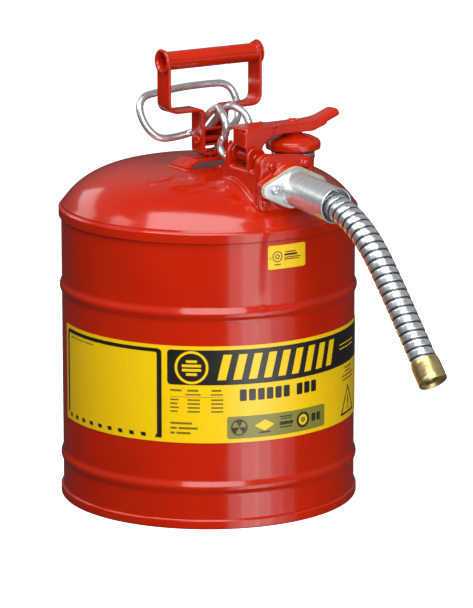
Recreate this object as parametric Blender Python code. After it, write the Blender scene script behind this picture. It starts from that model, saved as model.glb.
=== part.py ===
"""Five gallon safety gas can with a squeeze trigger, a lever-closed fill cap and a flexible metal hose.

Frame: origin on the can's axis at the floor, +Z up, the spout towards -Y, the grip along X.
All sizes are metres.
"""

import math

import bmesh
import bpy
from mathutils import Matrix, Vector
from mathutils.geometry import tessellate_polygon

GAP = 0.0003  # clearance between neighbouring pieces

# Can
FACETS = 60
BODY_R = 0.1467
SHEET = 0.0009
CHIME_R = 0.1492
CHIME_H = 0.0095
CHIME_LIP = 0.0022
DOME_FOOT_Z = 0.294
DOME_RISE = 0.042
DOME_R = 0.1475
DOME_SQUARENESS = 4.42
DOME_SHOULDER = 0.843
DOME_SHEET = 0.0012
DOME_RADII = (0.03, 0.06, 0.085, 0.105, 0.12, 0.131, 0.139, 0.1443)  # where the dome's curve is sampled
TOP_CHIME_Z = 0.2842
BEADS = (0.0415, 0.2145)  # heights of the rolled stiffening beads
BEAD_HALF = 0.0075
BEAD_PROUD = 0.0022
LABEL_Z = (0.0869, 0.1836)
LABEL_DEG = (-195, -35)
SMALL_LABEL_Z = (0.2565, 0.2810)
SMALL_LABEL_DEG = (-100, -80)
LABEL_SHEET = 0.0003
LABEL_STEP_DEG = 5

# Handle
HANDLE_Y = -0.0035
STRAP_W = 0.0218
STRAP_T = 0.003
UPRIGHT_X = 0.0535
STEM_X = 0.0135
SHOULDER_Z = 0.3925
STRAP_BASE_Z = 0.3477
GRIP_Z = 0.443
GRIP_R = 0.00925
GRIP_BORE_R = 0.0072
GRIP_RING_R = 0.0124
BRACKET_TOP_Z = 0.3446
BRACKET_T = 0.0026
BRACKET_Y = (-0.022, 0.0085)
BRACKET_FLAT_X = 0.0265
BRACKET_FOOT_X = 0.0365
BRACKET_END_X = 0.0400
BRACKET_FOOT_Z = 0.3378
RIVET_X = 0.0052
RIVET_R = 0.0025
RIVET_HEAD_R = 0.0045
RIVET_HOLE_R = RIVET_R + GAP
STRAP_CORNER_R = 0.009
STEM_CORNER_R = (0.0045, 0.004)

# Trigger, on a cross pin between the handle's stems
PIVOT_Z = 0.3612
PIVOT_R = 0.0035
WIRE_R = 0.0037
LOOP_SKEW = 0.05  # the finger loop's rise for each metre to the right
LOOP_START_Y = 0.015
SADDLE_HALF = 0.0107
SADDLE_EAR_T = 0.0020

# Pouring valve, worked by the trigger's front hooks
LINK_R = 0.0032
STEM_Y = -0.0565
VALVE_STEM_R = 0.003
STEM_TOP_Z = 0.3475
SEAT_Y = -0.0935
SEAT_R = (0.0125, 0.0145)
SEAT_Z = (0.3175, 0.3400)
POPPET_R = 0.0155
POPPET_T = 0.0025
SEAL_T = 0.0023
ARM_T = 0.003
SEAL_Z = SEAT_Z[0] - GAP - SEAL_T
POPPET_Z = SEAL_Z - GAP - POPPET_T
ARM_Z = POPPET_Z - GAP - ARM_T
SEAL_RING_R = (0.0085, 0.0150)
GUIDE_R = (0.0033, 0.0060)
GUIDE_Z = (0.3290, 0.3365)
STEM_HOLE_R = GUIDE_R[1] + GAP
CAGE_HALF = 0.017
CAGE_Z = 0.280
CAGE_TOP_Z = 0.325
CAGE_T = 0.0015
SPRING_R = 0.0060
SPRING_WIRE_R = 0.0008

# Manifold
FRONT_Y = -0.1275
FRAME_T = 0.006
CHAMBER_X = (-0.0245, 0.0360)
CHAMBER_BACK_Y = -0.0745
ROOF_Z = 0.3490
WALL = 0.003
CHAMBER_CORNER_R = 0.005
CHAMBER_FOOT_Z = 0.300
GUARD_OUTER = 0.0191
GUARD_T = 0.0026
FILL_X = 0.0393
FILL_Y = -0.092
NECK_TOP_Z = 0.355
NECK_R = (0.0172, 0.0217)
NECK_BORE_R = 0.0175
PLATE_LOBES = (
    (-0.0150, 0.3545, 0.0115),
    (0.0262, 0.3535, 0.0080),
    (0.0325, 0.3195, 0.0085),
    (-0.0210, 0.3195, 0.0078),
)
PLATE_T = 0.0046
PLATE_GASKET_T = 0.0008
SCREWS = ((-0.0140, 0.3545), (0.0256, 0.3540), (0.0320, 0.3195), (-0.0215, 0.3195))
SCREW_R = 0.0022
SCREW_HEAD_R = 0.0040
SCREW_HEAD_H = 0.0026
THREAD_DEPTH = 0.0020
PORT_R = 0.0160
PORT_RISE = 0.0008  # the port is square to the casting and so stands a little above the dipping spout's axis

# Spout, its axis dipping slightly below the horizontal
SPOUT_X = 0.0052
SPOUT_Z = 0.3341
SPOUT_Y = -0.1446  # back face of the sleeve's flange
SPOUT_DIP = math.radians(5.0)
SLEEVE_R = 0.0173
SLEEVE_BORE_R = 0.0162
SLEEVE_LENGTH = 0.0707
FLANGE_T = 0.0024
FLANGE_CORE_R = 0.0198
FLANGE_TIP_X = 0.029
FLANGE_TIP_R = 0.0075
PAD_TIP_X = 0.028
PAD_TIP_R = 0.0070
BOLT_X = 0.024
BOLT_SHANK = 0.0088
GASKET_T = 0.0015

# Hose, in the upright plane of the spout's axis: (y, z) route from the gland to the ferrule
HOSE_R = 0.0127
HOSE_ROUTE = (
    (-0.2001, 0.3295),
    (-0.2227, 0.3255),
    (-0.2443, 0.3176),
    (-0.2640, 0.3060),
    (-0.2816, 0.2913),
    (-0.2975, 0.2747),
    (-0.3129, 0.2576),
    (-0.3281, 0.2403),
    (-0.3432, 0.2229),
    (-0.3583, 0.2055),
)
HOSE_LEAD = (-0.1772, 0.3295)
HOSE_STEPS = 3
HOSE_INSERT = 0.0150  # how deep the hose sits in the sleeve
GLAND_GAP = 0.0008
GLAND_LENGTH = 0.010
GLAND_BORE_R = 0.0085
FERRULE_R = 0.014
FERRULE_BORE_R = 0.0100
FERRULE_LENGTH = 0.022

# Fill cap and its lever
CAP_R = 0.027
CAP_Z = (0.3610, 0.3710)
CAP_BOSS_R = 0.008
CAP_CONE_R = 0.0125
CAP_CONE_RISE = 0.0035
CAP_RIVET_HEAD_R = 0.0055
CAP_GASKET_R = (0.0160, 0.0218)
CAP_GASKET_T = 0.0022
FILL_LINER_R = (0.0158, 0.0172)
FILL_FLANGE_R = 0.0213
FILL_FLANGE_T = 0.0029
FILL_ARRESTER_R = 0.0152
FILL_ARRESTER_Z = 0.2150
POUR_ARRESTER_R = 0.0140
LEVER_PIVOT = (-0.016, 0.3595)  # x, z
LEVER_TOP_Z = 0.3880
LEVER_SHEET = 0.0022
LEVER_REAR_HALF = 0.0150
LEVER_REAR_CORNER_R = 0.010
LEVER_REAR_X = (-0.0255, -0.0185)  # where the near and the far rear flange start
LEVER_FRONT_HALF = 0.0115
LEVER_TAB_HALF = 0.0090
TAB_T = 0.0040
PIN_R = 0.0025
LEVER_SPRING_R = 0.0045
EAR_T = 0.0035
EAR_R = 0.0108
EAR_INNER = LEVER_REAR_HALF + 0.0005


def material(name, colour, metallic, roughness):
    found = bpy.data.materials.get(name)
    if found:
        return found
    made = bpy.data.materials.new(name)
    made.use_nodes = True
    shader = made.node_tree.nodes["Principled BSDF"]
    shader.inputs["Base Color"].default_value = (*colour, 1.0)
    shader.inputs["Metallic"].default_value = metallic
    shader.inputs["Roughness"].default_value = roughness
    return made


def red():
    return material("red_enamel", (0.52, 0.012, 0.008), 0.0, 0.25)


def zinc():
    return material("zinc_plate", (0.62, 0.64, 0.66), 1.0, 0.28)


def steel():
    return material("plain_steel", (0.45, 0.45, 0.46), 1.0, 0.35)


def brass():
    return material("brass", (0.72, 0.52, 0.20), 1.0, 0.3)


def rubber():
    return material("black_rubber", (0.02, 0.02, 0.02), 0.0, 0.7)


def fibre():
    return material("tan_fibre", (0.55, 0.42, 0.24), 0.0, 0.8)


def label_film():
    return material("label_film", (0.90, 0.62, 0.01), 0.0, 0.35)


def clear_scene():
    for obj in list(bpy.data.objects):
        bpy.data.objects.remove(obj, do_unlink=True)


def finish(name, bm, look, placing=None):
    """Turns a bmesh into a named object, its faces out and its round faces smooth."""
    bmesh.ops.recalc_face_normals(bm, faces=bm.faces)
    mesh = bpy.data.meshes.new(name)
    bm.to_mesh(mesh)
    bm.free()
    mesh.shade_smooth()
    mesh.set_sharp_from_angle(angle=math.radians(35))
    mesh.materials.append(look)
    obj = bpy.data.objects.new(name, mesh)
    bpy.context.collection.objects.link(obj)
    if placing is not None:
        obj.matrix_world = placing
    return obj


def turned(name, profile, look, placing=None, facets=24):
    """A body turned about local Z. A profile that starts and ends at radius 0 is solid, another is a ring."""
    bm = bmesh.new()
    rings = []
    for radius, height in profile:
        if radius == 0:
            rings.append([bm.verts.new((0, 0, height))])
            continue
        turn = [2 * math.pi * k / facets for k in range(facets)]
        rings.append([bm.verts.new((radius * math.cos(t), radius * math.sin(t), height)) for t in turn])
    closed = profile[0][0] > 0
    pairs = list(zip(rings, rings[1:] + rings[:1])) if closed else list(zip(rings, rings[1:]))
    for low, high in pairs:
        for k in range(facets):
            n = (k + 1) % facets
            corners = [low[k % len(low)], low[n % len(low)], high[n % len(high)], high[k % len(high)]]
            bm.faces.new(list(dict.fromkeys(corners)))
    return finish(name, bm, look, placing)


def ring(radii, heights):
    """The profile of a plain ring, from its inner and outer radius and its low and high ends."""
    inner, outer = radii
    low, high = heights
    return [(inner, low), (outer, low), (outer, high), (inner, high)]


def prism(name, outline, low, high, look, placing=None, holes=()):
    """An outline in local XY, with holes, extruded from low to high along local Z."""
    bm = bmesh.new()
    loops = [outline, *holes]
    flat = [Vector((*point, 0)) for loop in loops for point in loop]
    layers = [[bm.verts.new((p.x, p.y, height)) for p in flat] for height in (low, high)]
    for triangle in tessellate_polygon([[Vector((*point, 0)) for point in loop] for loop in loops]):
        for layer in layers:
            bm.faces.new([layer[k] for k in triangle])
    first = 0
    for loop in loops:
        for k in range(len(loop)):
            a, b = first + k, first + (k + 1) % len(loop)
            bm.faces.new((layers[0][a], layers[0][b], layers[1][b], layers[1][a]))
        first += len(loop)
    return finish(name, bm, look, placing)


def rod(name, path, radius, look, sides=8):
    """A round bar swept along a path, its section carried without twist."""
    points = [Vector(p) for p in path]
    bm = bmesh.new()
    rings = []
    side = None
    for point, before, after in zip(points, [points[0], *points], [*points[1:], points[-1]]):
        along = (after - before).normalized()
        if side is None:
            side = along.orthogonal().normalized()
        side = (side - along * side.dot(along)).normalized()
        across = along.cross(side)
        turn = [2 * math.pi * s / sides for s in range(sides)]
        spokes = [side * math.cos(t) + across * math.sin(t) for t in turn]
        rings.append([bm.verts.new(point + radius * spoke) for spoke in spokes])
    for low, high in zip(rings, rings[1:]):
        for s in range(sides):
            n = (s + 1) % sides
            bm.faces.new((low[s], low[n], high[n], high[s]))
    bm.faces.new(rings[0])
    bm.faces.new(rings[-1])
    return finish(name, bm, look)


def circle(radius, x=0.0, y=0.0, facets=16):
    turn = [2 * math.pi * k / facets for k in range(facets)]
    return [(x + radius * math.cos(t), y + radius * math.sin(t)) for t in turn]


def hull_of_circles(circles, facets=24):
    """The outline of a band pulled round some circles, each given as x, y and radius."""
    points = sorted({p for x, y, r in circles for p in circle(r, x, y, facets)})

    def chain(ordered):
        kept = []
        for p in ordered:
            while len(kept) > 1:
                (ax, ay), (bx, by) = kept[-2], kept[-1]
                if (bx - ax) * (p[1] - ay) - (by - ay) * (p[0] - ax) > 1e-12:
                    break
                kept.pop()
            kept.append(p)
        return kept[:-1]

    return chain(points) + chain(reversed(points))


def smooth_path(route, steps, lead=None):
    """Points on the Catmull-Rom curve through a route. A lead point sets the direction at its start."""
    route = [Vector(p) for p in route]
    lead = Vector(lead) if lead else 2 * route[0] - route[1]
    ends = [lead, *route, 2 * route[-1] - route[-2]]
    found = []
    for a, b, c, d in zip(ends, ends[1:], ends[2:], ends[3:]):
        for k in range(steps):
            t = k / steps
            found.append(
                b
                + 0.5 * (c - a) * t
                + (a - 2.5 * b + 2 * c - 0.5 * d) * t**2
                + 0.5 * (3 * b - a - 3 * c + d) * t**3
            )
    return [*found, route[-1]]


def rounded(points, radii, steps=4):
    """A polyline whose inner corners are replaced by arcs of the given radii."""
    points = [Vector(p) for p in points]
    found = [points[0]]
    for before, corner, after, radius in zip(points, points[1:], points[2:], radii):
        back = (before - corner).normalized()
        on = (after - corner).normalized()
        half = back.angle(on) / 2
        reach = radius / math.tan(half)
        start, end = corner + back * reach, corner + on * reach
        centre = corner + (back + on).normalized() * (radius / math.sin(half))
        sweep = math.pi - 2 * half
        for k in range(steps + 1):
            a = math.sin(sweep * (1 - k / steps)) / math.sin(sweep)
            b = math.sin(sweep * k / steps) / math.sin(sweep)
            found.append(centre + (start - centre) * a + (end - centre) * b)
    return [*found, points[-1]]


def strip_outline(path, thickness):
    """The closed outline of a bent strip seen edge on, half its thickness either side of the path."""
    left, right = [], []
    for k, point in enumerate(path):
        before = (point - path[k - 1]).normalized() if k else None
        after = (path[k + 1] - point).normalized() if k + 1 < len(path) else None
        before, after = before or after, after or before
        along = (before + after).normalized()
        normal = Vector((-along.y, along.x)) * (thickness / 2 / along.dot(after))
        left.append(tuple(point + normal))
        right.append(tuple(point - normal))
    return left + right[::-1]


def helix(radius, low, high, turns, x, y, per_turn=10):
    count = int(turns * per_turn)
    found = []
    for k in range(count + 1):
        t = 2 * math.pi * k / per_turn
        found.append((x + radius * math.cos(t), y + radius * math.sin(t), low + (high - low) * k / count))
    return found


def boolean(obj, other, operation):
    made = obj.modifiers.new(other.name, "BOOLEAN")
    made.operation = operation
    made.object = other
    made.solver = "EXACT"
    other.hide_render = True
    other.display_type = "WIRE"


def facing_front(y=0.0):
    """Local X stays X, local Y becomes up, local Z points to the front, from the given y."""
    return Matrix.Translation((0, y, 0)) @ Matrix.Rotation(math.pi / 2, 4, "X")


def facing_right(x=0.0):
    """Local X becomes Y, local Y becomes up, local Z points along X."""
    turn = Matrix(((0, 0, 1, 0), (1, 0, 0, 0), (0, 1, 0, 0), (0, 0, 0, 1)))
    return Matrix.Translation((x, 0, 0)) @ turn


def along_spout(distance=0.0):
    """Local Z runs out of the spout from the back face of its flange."""
    start = Matrix.Translation((SPOUT_X, SPOUT_Y, SPOUT_Z))
    return start @ Matrix.Rotation(math.pi / 2 + SPOUT_DIP, 4, "X") @ Matrix.Translation((0, 0, distance))


def dome_z(radius):
    return DOME_FOOT_Z + DOME_RISE * (1 - (radius / DOME_R) ** DOME_SQUARENESS) ** DOME_SHOULDER


def dome_curve(offset, radii=DOME_RADII):
    """(r, z) from the crown to the shoulder, moved outwards by an offset."""
    found = []
    for radius in radii:
        step = 0.0001
        slope = (dome_z(radius + step) - dome_z(radius - step)) / (2 * step)
        length = math.hypot(1, slope)
        found.append((radius - slope / length * offset, dome_z(radius) + offset / length))
    return found


def body_shell():
    low, high = 0.0017, TOP_CHIME_Z + 0.0057
    outer = [(BODY_R, high)]
    for height in reversed(BEADS):
        outer.append((BODY_R, height + BEAD_HALF))
        outer.append((BODY_R + BEAD_PROUD, height + BEAD_HALF / 3))
        outer.append((BODY_R + BEAD_PROUD, height - BEAD_HALF / 3))
        outer.append((BODY_R, height - BEAD_HALF))
    outer.append((BODY_R, low))
    inner = [(BODY_R - SHEET, low), (BODY_R - SHEET, high)]
    return turned("body_shell", outer + inner, red(), facets=FACETS)


def bottom_head():
    channel_r = BODY_R + GAP
    web_r = BODY_R - SHEET - GAP
    profile = [
        (0, 0.0100),
        (web_r, 0.0100),
        (web_r, 0.0014),
        (channel_r, 0.0014),
        (channel_r, CHIME_H),
        (CHIME_R - 0.0004, CHIME_H),
        (CHIME_R, CHIME_H - 0.0005),
        (CHIME_R, 0.0006),
        (CHIME_R - 0.0005, 0),
        (web_r - 0.0010, 0),
        (web_r - 0.0012, 0.0090),
        (0, 0.0090),
    ]
    return turned("bottom_head", profile, red(), facets=FACETS)


def top_dome():
    web_r = BODY_R - SHEET - GAP
    channel_r = BODY_R + GAP
    channel_z = TOP_CHIME_Z + 0.0060
    profile = [
        (0, dome_z(0)),
        *dome_curve(0),
        (0.1470, 0.2956),
        (CHIME_R - 0.0003, 0.2944),
        (CHIME_R, 0.2935),
        (CHIME_R, TOP_CHIME_Z + 0.0006),
        (CHIME_R - 0.0004, TOP_CHIME_Z),
        (channel_r, TOP_CHIME_Z),
        (channel_r, channel_z),
        (web_r, channel_z),
        (web_r, TOP_CHIME_Z + 0.0008),
        (web_r - DOME_SHEET, TOP_CHIME_Z + 0.0008),
        (web_r - DOME_SHEET, 0.2935),
        *reversed(dome_curve(-DOME_SHEET, DOME_RADII[1::2])),
        (0, dome_z(0) - DOME_SHEET),
    ]
    dome = turned("top_dome", profile, red(), facets=FACETS)
    for name, x, y, radius in (
        ("fill_hole", FILL_X, FILL_Y, NECK_BORE_R),
        ("pour_hole", 0, SEAT_Y, SEAT_R[1] + GAP),
        ("stem_hole", 0, STEM_Y, STEM_HOLE_R),
    ):
        cutter = prism(name, circle(radius, x, y, 18), 0.28, 0.36, steel())
        boolean(dome, cutter, "DIFFERENCE")
    return dome


def label(name, degrees, heights):
    """A film bent round the can."""
    turn = [math.radians(d) for d in range(degrees[0], degrees[1] + 1, LABEL_STEP_DEG)]
    inner = [((BODY_R + GAP) * math.cos(t), (BODY_R + GAP) * math.sin(t)) for t in turn]
    outer_r = BODY_R + GAP + LABEL_SHEET
    outer = [(outer_r * math.cos(t), outer_r * math.sin(t)) for t in reversed(turn)]
    return prism(name, inner + outer, heights[0], heights[1], label_film())


def dome_bracket():
    """The low bridge welded to the dome, under the handle."""
    raised = BRACKET_TOP_Z - BRACKET_T / 2
    foot = [(x, BRACKET_FOOT_Z, 0) for x in (BRACKET_FOOT_X, BRACKET_END_X)]
    half = [(BRACKET_FLAT_X, raised, 0), *foot]
    path = rounded([(-x, z, 0) for x, z, _ in reversed(half)] + half, (0.002, 0.006, 0.006, 0.002), 3)
    outline = strip_outline([p.to_2d() for p in path], BRACKET_T)
    bracket = prism("dome_bracket", outline, -BRACKET_Y[1], -BRACKET_Y[0], red(), facing_front())
    for side, x in enumerate((-RIVET_X, RIVET_X), 1):
        cutter = prism(f"bracket_hole_{side}", circle(RIVET_HOLE_R, x, HANDLE_Y, 12), 0.33, 0.36, steel())
        boolean(bracket, cutter, "DIFFERENCE")
    return bracket


def handle_strap():
    """One steel strap: uprights, shoulders and stems, joined by the base between the stems."""
    half = [
        (UPRIGHT_X, GRIP_Z + STRAP_W / 2, 0),
        (UPRIGHT_X, SHOULDER_Z, 0),
        (STEM_X, SHOULDER_Z, 0),
        (STEM_X, STRAP_BASE_Z, 0),
    ]
    corners = (STRAP_CORNER_R, *STEM_CORNER_R)
    path = rounded([(-x, z, 0) for x, z, _ in half] + half[::-1], corners + corners[::-1])
    outline = strip_outline([p.to_2d() for p in path], STRAP_T)
    strap = prism(
        "handle_strap", outline, -HANDLE_Y - STRAP_W / 2, -HANDLE_Y + STRAP_W / 2, red(), facing_front()
    )
    bm = bmesh.new()
    bm.from_mesh(strap.data)
    top = [e for e in bm.edges if all(v.co.y > GRIP_Z + STRAP_W / 2 - 1e-5 for v in e.verts)]
    corners = [e for e in top if abs(e.verts[0].co.z - e.verts[1].co.z) < 1e-5 and e.calc_face_angle(0) > 1]
    bmesh.ops.bevel(bm, geom=corners, offset=STRAP_W * 0.47, segments=4, affect="EDGES", profile=0.5)
    bm.to_mesh(strap.data)
    bm.free()
    grip_hole = prism(
        "grip_hole", circle(GRIP_R + GAP, HANDLE_Y, GRIP_Z, 24), -0.07, 0.07, steel(), facing_right()
    )
    pin_hole = prism(
        "pin_hole", circle(PIVOT_R + GAP, HANDLE_Y, PIVOT_Z, 16), -0.02, 0.02, steel(), facing_right()
    )
    boolean(strap, grip_hole, "DIFFERENCE")
    boolean(strap, pin_hole, "DIFFERENCE")
    for side, x in enumerate((-RIVET_X, RIVET_X), 1):
        cutter = prism(f"base_hole_{side}", circle(RIVET_HOLE_R, x, HANDLE_Y, 12), 0.34, 0.36, steel())
        boolean(strap, cutter, "DIFFERENCE")
    return strap


def handle_rivets():
    low = BRACKET_TOP_Z - BRACKET_T - GAP
    high = STRAP_BASE_Z + STRAP_T / 2 + GAP
    profile = [
        (0, low - 0.0014),
        (RIVET_HEAD_R * 0.9, low - 0.0010),
        (RIVET_HEAD_R, low),
        (RIVET_R, low),
        (RIVET_R, high),
        (RIVET_HEAD_R, high),
        (RIVET_HEAD_R * 0.9, high + 0.0012),
        (0, high + 0.0017),
    ]
    for side, x in enumerate((-RIVET_X, RIVET_X), 1):
        turned(f"handle_rivet_{side}", profile, red(), Matrix.Translation((x, HANDLE_Y, 0)), 12)


def grip_tube():
    ring_low = UPRIGHT_X + STRAP_T / 2 + GAP
    half = [
        (GRIP_R, ring_low),
        (GRIP_RING_R - 0.0004, ring_low),
        (GRIP_RING_R, ring_low + 0.0008),
        (GRIP_RING_R - 0.0006, ring_low + 0.0018),
        (GRIP_BORE_R + 0.0024, ring_low + 0.0022),
        (GRIP_BORE_R + 0.0008, ring_low + 0.0010),
        (GRIP_BORE_R, ring_low - 0.0012),
    ]
    profile = half + [(r, -x) for r, x in reversed(half)]
    placing = Matrix.Translation((0, HANDLE_Y, GRIP_Z)) @ Matrix.Rotation(math.pi / 2, 4, "Y")
    return turned("grip_tube", profile, red(), placing, 24)


def mirrored(half):
    """A route from one side's end to the middle, carried on to the other side's end."""
    return [*half, *((-x, y, z) for x, y, z in reversed(half[:-1]))]


def trigger_wire():
    """One bent bar: front hooks, arches, the pass between the stems and the finger loop behind."""
    half = [
        (0.0134, -0.0520, 0.3735),
        (0.0135, -0.0535, 0.3790),
        (0.0132, -0.0520, 0.3850),
        (0.0122, -0.0460, 0.3915),
        (0.0100, -0.0375, 0.3955),
        (0.0080, -0.0295, 0.3964),
        (0.0076, -0.0205, 0.3930),
        (0.0076, -0.0120, 0.3870),
        (0.0076, -0.0035, 0.3800),
        (0.0076, 0.0060, 0.3715),
        (0.0090, 0.0130, 0.3665),
        (0.0150, 0.0175, 0.3642),
        (0.0300, 0.0190, 0.3630),
        (0.0420, 0.0205, 0.3640),
        (0.0503, 0.0240, 0.3695),
        (0.0553, 0.0300, 0.3790),
        (0.0563, 0.0362, 0.3885),
        (0.0542, 0.0405, 0.3965),
        (0.0480, 0.0435, 0.4020),
        (0.0370, 0.0448, 0.4042),
        (0.0, 0.0455, 0.4056),
    ]
    route = [(x, y, z + LOOP_SKEW * x * (y > LOOP_START_Y)) for x, y, z in mirrored(half)]
    return rod("trigger_wire", smooth_path(route, 2), WIRE_R, zinc(), 8)


def trigger_saddle():
    """A channel welded under the wire, with an ear each side on the pivot pin."""
    channel = [
        (-0.0120, 0.3735),
        (-0.0045, 0.3735),
        (0.0075, 0.3640),
        (0.0100, 0.3610),
        (0.0100, 0.3545),
        (-0.0080, 0.3545),
        (-0.0080, 0.3568),
        (0.0068, 0.3568),
        (0.0068, 0.3610),
        (0.0045, 0.3640),
        (-0.0050, 0.3708),
        (-0.0120, 0.3708),
    ]
    saddle = prism("trigger_saddle", channel, -SADDLE_HALF, SADDLE_HALF, red(), facing_right())
    ear = [(-0.0100, 0.3722), (-0.0050, 0.3722), (0.0084, 0.3615), (0.0084, 0.3555), (-0.0070, 0.3555)]
    for side, x in enumerate((-SADDLE_HALF, SADDLE_HALF - SADDLE_EAR_T), 1):
        plate = prism(f"saddle_ear_{side}", ear, 0, SADDLE_EAR_T, red(), facing_right(x))
        boolean(saddle, plate, "UNION")
    hole = prism(
        "saddle_hole", circle(PIVOT_R + GAP, HANDLE_Y, PIVOT_Z, 16), -0.02, 0.02, steel(), facing_right()
    )
    boolean(saddle, hole, "DIFFERENCE")
    return saddle


def trigger_pivot_pin():
    shoulder = STEM_X + STRAP_T / 2 + GAP
    head = [(PIVOT_R, shoulder), (0.0052, shoulder), (0.0048, shoulder + 0.0014), (0, shoulder + 0.0018)]
    profile = [(r, -x) for r, x in reversed(head)] + head
    placing = Matrix.Translation((0, HANDLE_Y, PIVOT_Z)) @ Matrix.Rotation(math.pi / 2, 4, "Y")
    return turned("trigger_pivot_pin", profile, zinc(), placing, 16)


def valve_link():
    half = [
        (0.0125, -0.0475, 0.3700),
        (0.0125, -0.0425, 0.3655),
        (0.0125, -0.0405, 0.3605),
        (0.0125, -0.0425, 0.3560),
        (0.0125, -0.0485, 0.3525),
        (0.0120, -0.0535, 0.3512),
        (0.0085, -0.0560, 0.3510),
        (0.0, STEM_Y, 0.3510),
    ]
    return rod("valve_link", smooth_path(mirrored(half), 2), LINK_R, zinc(), 8)


def valve_moving_parts():
    """What the link pushes down: the stem, its arm and the poppet with its seal."""
    at_stem = Matrix.Translation((0, STEM_Y, 0))
    at_seat = Matrix.Translation((0, SEAT_Y, 0))
    stem = [(0, POPPET_Z), (VALVE_STEM_R, POPPET_Z), (VALVE_STEM_R, STEM_TOP_Z), (0, STEM_TOP_Z)]
    turned("valve_stem", stem, steel(), at_stem, 12)
    arm = hull_of_circles(((0, STEM_Y, 0.005), (0, SEAT_Y, 0.007)), 12)
    prism("valve_arm", arm, ARM_Z, ARM_Z + ARM_T, steel())
    top = POPPET_Z + POPPET_T
    poppet = [(0, POPPET_Z), (POPPET_R, POPPET_Z), (POPPET_R, top), (0, top)]
    turned("valve_poppet", poppet, steel(), at_seat, 24)
    turned("poppet_seal", ring(SEAL_RING_R, (SEAL_Z, SEAL_Z + SEAL_T)), rubber(), at_seat, 24)


def valve_fixed_parts():
    """The seat tube and stem guide in the dome, and the cage and spring under the seat."""
    turned("valve_seat", ring(SEAT_R, SEAT_Z), steel(), Matrix.Translation((0, SEAT_Y, 0)), 24)
    turned("valve_guide", ring(GUIDE_R, GUIDE_Z), steel(), Matrix.Translation((0, STEM_Y, 0)), 16)
    half = [(CAGE_HALF, CAGE_Z, 0), (CAGE_HALF, CAGE_TOP_Z, 0)]
    path = rounded([(-x, z, 0) for x, z, _ in reversed(half)] + half, (0.004, 0.004), 3)
    outline = strip_outline([p.to_2d() for p in path], CAGE_T)
    prism("valve_cage", outline, -SEAT_Y - 0.004, -SEAT_Y + 0.004, steel(), facing_front())
    room = SPRING_WIRE_R + GAP
    coil = helix(SPRING_R, CAGE_Z + CAGE_T / 2 + room, ARM_Z - room, 5, 0, SEAT_Y)
    rod("valve_spring", coil, SPRING_WIRE_R, steel(), 6)


def dome_allowance(name):
    """A cutter that fits a piece to the dome, with the usual gap."""
    lip = [(CHIME_R + GAP, 0.2935), (CHIME_R, 0.2948), (0.1473, 0.2960)]
    under = [(0, 0.25), (0.16, 0.25), (0.16, 0.2935), *lip]
    profile = [*under, *reversed(dome_curve(GAP)), (0, dome_z(0) + GAP)]
    return turned(name, profile, steel(), facets=FACETS)


def chamber_outline():
    left, right = CHAMBER_X
    top = ROOF_Z - CHAMBER_CORNER_R
    return hull_of_circles(
        (
            (left + CHAMBER_CORNER_R, top, CHAMBER_CORNER_R),
            (right - CHAMBER_CORNER_R, top, CHAMBER_CORNER_R),
            (left + 0.001, CHAMBER_FOOT_Z, 0.001),
            (right - 0.001, CHAMBER_FOOT_Z, 0.001),
        ),
        16,
    )


def hinge_ears():
    """The two ears that carry the lever's pin, one each side of the lever."""
    x, z = LEVER_PIVOT
    foot_z = ROOF_Z - 0.002
    outline = hull_of_circles(((x, z, EAR_R), (x - 0.006, foot_z, 0.001), (x + 0.010, foot_z, 0.001)), 16)
    for side, y in enumerate((FILL_Y - EAR_INNER, FILL_Y + EAR_INNER + EAR_T), 1):
        yield prism(f"hinge_ear_{side}", outline, -y, -y + EAR_T, red(), facing_front())


def link_guards():
    """The webs either side of the link. The right one stays low, under the fill cap."""
    foot = [(-0.0775, 0.346), (-0.0775, 0.332), (-0.0565, 0.332), (-0.0565, 0.344)]
    tall = [*foot, (-0.0672, 0.3712), (-0.0705, 0.3712), (-0.0705, 0.3500)]
    low = [*foot, (-0.0630, 0.3560), (-0.0700, 0.3560)]
    for side, (x, outline) in enumerate(((-GUARD_OUTER, tall), (GUARD_OUTER - GUARD_T, low)), 1):
        yield prism(f"link_guard_{side}", outline, x, x + GUARD_T, red(), facing_right())


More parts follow.
